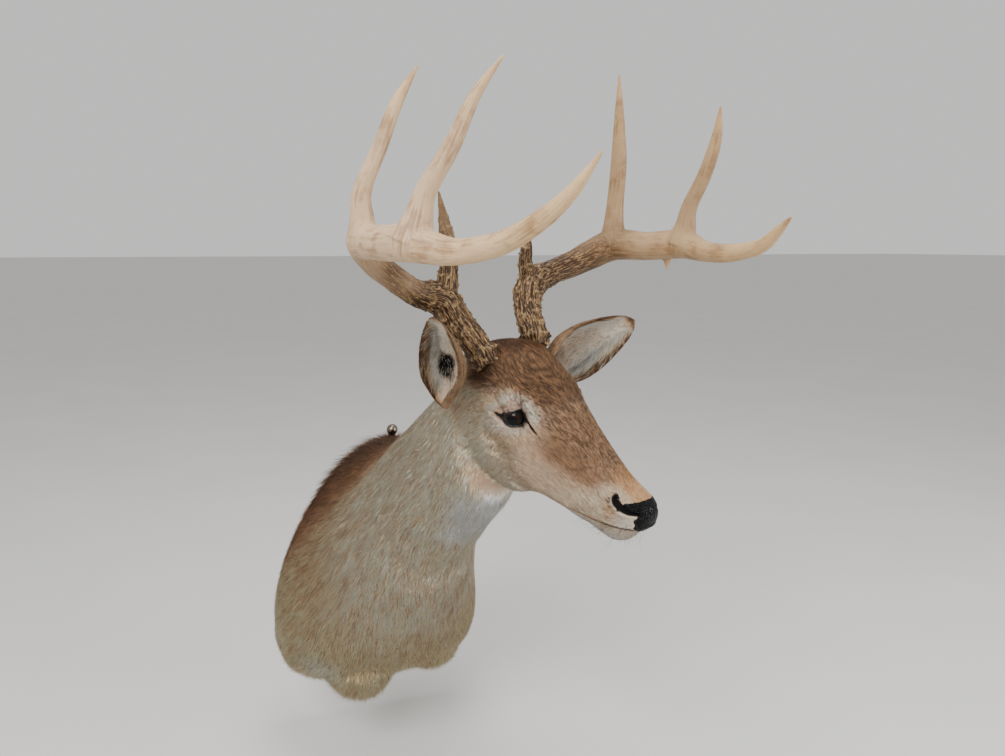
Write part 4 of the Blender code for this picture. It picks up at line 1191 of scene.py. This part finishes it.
def weather(side, p, n):
    # grooves and pearls near the root, smooth and pale towards the tips; each point looks up the
    # middle line it is nearest to, counted in radii
    near = np.full(len(p), 9.0)
    along, turn, tip, reach = np.zeros((4, len(p)))
    for key, rows in antlers[side].items():
        at, line, thick, across, over = antlerLine(rows, 14)
        far = np.concatenate([[0], np.cumsum(norm(np.diff(line, axis=0)))])
        for lot in np.array_split(np.arange(len(p)), 24):
            away = norm(p[lot, None] - line) / thick
            best = away.argmin(axis=1)
            less = away[np.arange(len(lot)), best] < near[lot]
            chosen, best = lot[less], best[less]
            near[chosen] = away[less, best]
            rel = p[chosen] - line[best]
            turn[chosen] = np.arctan2((rel * over[best]).sum(axis=1), (rel * across[best]).sum(axis=1))
            reach[chosen] = far[best] + antlerLook["from"][key]
            tip[chosen] = far[best] / far[-1]
            along[chosen] = at[best] if key == "beam" else 9
    root, pearly = ease(0.34, 0.03, reach), ease(0.20, 0.08, reach)
    lie, coarse = (np.stack([np.cos(turn), np.sin(turn), reach * k], axis=1) for k in (22, 12))
    groove = 1 - 2.2 * np.abs(grain(lie * (3.4, 3.4, 2.2), 1.0, 21))
    pearl = np.maximum(grain(p, 0.0036, 23), 0.25) - 0.25
    burr = hump(along - antlerLook["burrAt"], antlerLook["burrWide"])
    knobs = 0.55 + 0.6 * np.abs(grain(coarse * 4.2, 1.0, 24))
    lift = (groove * (0.0001 + 0.0009 * root) + pearl * 0.0050 * pearly
            + burr * antlerLook["burrHigh"] * knobs + grain(p, 0.02, 25) * 0.0006 * root)
    stain = ease(antlerLook["stain"][side], 0.11, reach + 0.05 * grain(p, 0.03, 26))
    bone, ivory, brown = antlerLook["bone"][side], antlerLook["ivory"], antlerLook["brown"]
    colour = bone + (ivory - bone) * (ease(0.5, 0.95, tip) * 0.7)[:, None]
    colour = colour + (brown - colour) * (0.75 * stain)[:, None]
    knob = np.clip(pearl * pearly * 1.6 + burr * ease(0.75, 1.0, knobs) * 0.7, 0, 1)
    age = np.column_stack([stain, knob, np.zeros(len(p))])
    return p + n * lift[:, None], {"tint": colour, "lie": lie, "age": age}


def boneFinish():
    bone = Finish("antler_bone", Specular_IOR_Level=0.22)
    stain, knob = (bone.node("SeparateColor", {}, {0: bone.attribute("age")}, out=k) for k in (0, 1))
    # ridges run along the bone: a grain on the place round and along it, drawn out lengthwise
    wood = bone.noise(5.2, 4, bone.scaled(bone.attribute("lie", 1), (1, 1, 0.24)), 0.62)
    ridge = bone.between(bone.calc("ABSOLUTE", wood - 0.5, 0), 0.031, 0.0)
    pores, cloud = bone.noise(1100, 3), bone.noise(40, 4)
    shade = bone.mix(pores * 0.5 + cloud * 0.5, (0.70, 0.64, 0.56), (1.12, 1.12, 1.12))
    scratch = bone.between(wood * cloud, 0.25, 0.16)
    clean = bone.mix(scratch * 0.6 + ridge * cloud * 0.5, bone.times(bone.attribute("tint"), shade),
                     tone(128, 90, 56))
    dark = bone.mix(stain * (1 - ridge), clean, tone(46, 26, 11))
    crest = bone.mix(stain * ridge, dark, tone(206, 168, 118))
    bone.feed(Base_Color=bone.mix(knob * cloud * 0.8, crest, tone(206, 172, 126)),
              Roughness=cloud * 0.3 + 0.34)
    bone.bump(ridge * stain + pores * 0.2, 0.8, 0.0011)
    return bone


antlerBone = boneFinish()
for sideName in ("right", "left"):
    makeAntler(sideName, antlerBone)
print("antlers made")


def metalFinish(name, grainSize, dark, pale, least, more):
    # brushed or worn metal: one grain moves both its tone and its roughness
    metal = Finish(name, Metallic=1.0)
    wear = metal.noise(grainSize, 3)
    metal.feed(Base_Color=metal.mix(wear, dark, pale), Roughness=wear * more + least)
    return metal, wear


def dressBoard():
    wood = Finish("plywood")
    rings = wood.noise(1.6, 6.0, wood.scaled(wood.place(), (60, 60, 4)))
    stops = [(0.30, tone(150, 112, 74)), (0.62, tone(205, 170, 124))]
    wood.feed(Base_Color=wood.node("ValToRGB", {"stops": stops}, {0: rings}), Roughness=rings * 0.25 + 0.55)
    wood.bump(rings, 0.3, 0.0004)
    steel, brush = metalFinish("steel", 300, (0.36, 0.35, 0.33), (0.62, 0.61, 0.58), 0.22, 0.25)
    steel.bump(brush, 0.15, 0.0002)
    for node, finish in (("backboard", wood), ("hanger_plate", steel)):
        dress(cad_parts[node].data, finish)


# the hanger's knob, m: its place on the wall, the radii of the stem's foot, its neck, its head and
# its tip, the heights of stem and head, the rounding of the head's edge
knobSize = {"x": 0.030, "y": -0.0023, "z": 0.2090, "foot": 0.0046, "neck": 0.0050, "head": 0.0095,
            "tip": 0.0003, "stem": 0.004, "tall": 0.0145, "edge": 0.0010, "sides": 48}


def makeKnob(metal):
    # a domed head on a stem, turned about the way out from the wall: the dome is a quarter of an oval
    k = knobSize
    stem, top = k["stem"], k["stem"] + k["edge"]
    angle = np.linspace(0, math.pi / 2, 20)[1:-1, None]
    dome = np.hstack([k["head"] * np.cos(angle), top + (k["tall"] - stem - k["edge"]) * np.sin(angle)])
    rise = [(k["foot"], 0.0), (k["foot"], stem - 0.0004), (k["neck"], stem),
            (k["head"] - 0.0008, stem + 0.0001), (k["head"], top)]
    radius, out = np.vstack([rise, dome, [(k["tip"], k["tall"])]]).T[..., None]
    turn = np.arange(k["sides"]) * 2 * math.pi / k["sides"]
    rings = np.stack([k["x"] + radius * np.cos(turn), np.repeat(k["y"] - out, k["sides"], axis=1),
                      k["z"] + radius * np.sin(turn)], axis=2)
    done(outward(tubePiece("knob", rings, metal)), "hanger", "hanger_knob")


dressBoard()
makeKnob(metalFinish("bronze", 220, (0.09, 0.07, 0.05), (0.26, 0.22, 0.17), 0.15, 0.3)[0])
print("board made")


studio = {"floor": -0.30, "reach": 60, "camera": (-0.1835, -1.2807, 0.5219), "yaw": 18.0, "pitch": 9.9,
          "lens": 27.22, "target": (0.1, -0.3, 0.3), "sky": (0.86, 0.86, 0.85, 1), "skyStrength": 0.85,
          # place, width and power of each lamp
          "lamps": {"key": ((-1.3, -1.9, 1.9), 1.5, 80), "fill": ((1.9, -1.6, 0.7), 1.8, 34),
                    "top": ((0.2, -0.2, 2.4), 1.4, 26)}}


def makeStage():
    pale = Finish("floor_paint", Roughness=0.85)
    pale.feed(Base_Color=pale.mix(pale.noise(3, 2), (0.60, 0.59, 0.57), (0.66, 0.65, 0.63)))
    corners = np.array([(-1, -1, 0), (1, -1, 0), (1, 1, 0), (-1, 1, 0)]) * studio["reach"]
    floor = buildMesh("floor", corners + (0, 0, studio["floor"]), [np.array([[0, 1, 2, 3]])], pale, False)
    world = bpy.data.worlds.new("studio")
    bpy.context.scene.world = world
    world.use_nodes = True
    back = world.node_tree.nodes["Background"]
    back.inputs["Color"].default_value = studio["sky"]
    back.inputs["Strength"].default_value = studio["skyStrength"]


def aim(name, thing, spot, target):
    # a lamp or camera that looks along its -Z at the target, its X level
    back = unit(np.array(spot, float) - np.array(target, float))
    right = unit(np.cross((0, 0, 1), back))
    made = newObject(name, thing)
    columns = np.column_stack([right, np.cross(back, right), back, spot])
    made.matrix_world = Matrix([*columns.tolist(), [0, 0, 0, 1]])
    return made


def makeLamps():
    for name, (spot, width, power) in studio["lamps"].items():
        lamp = bpy.data.lights.new(name, "AREA")
        lamp.shape, lamp.size, lamp.energy = "DISK", width, power
        aim(name, lamp, spot, studio["target"])


def makeCamera():
    yaw, pitch = math.radians(studio["yaw"]), math.radians(studio["pitch"])
    ahead = (math.sin(yaw) * math.cos(pitch), math.cos(yaw) * math.cos(pitch), -math.sin(pitch))
    camera = bpy.data.cameras.new("camera")
    camera.lens, camera.clip_start = studio["lens"], 0.02
    bpy.context.scene.camera = aim("camera", camera, studio["camera"], np.array(studio["camera"]) + ahead)


makeStage()
makeLamps()
makeCamera()
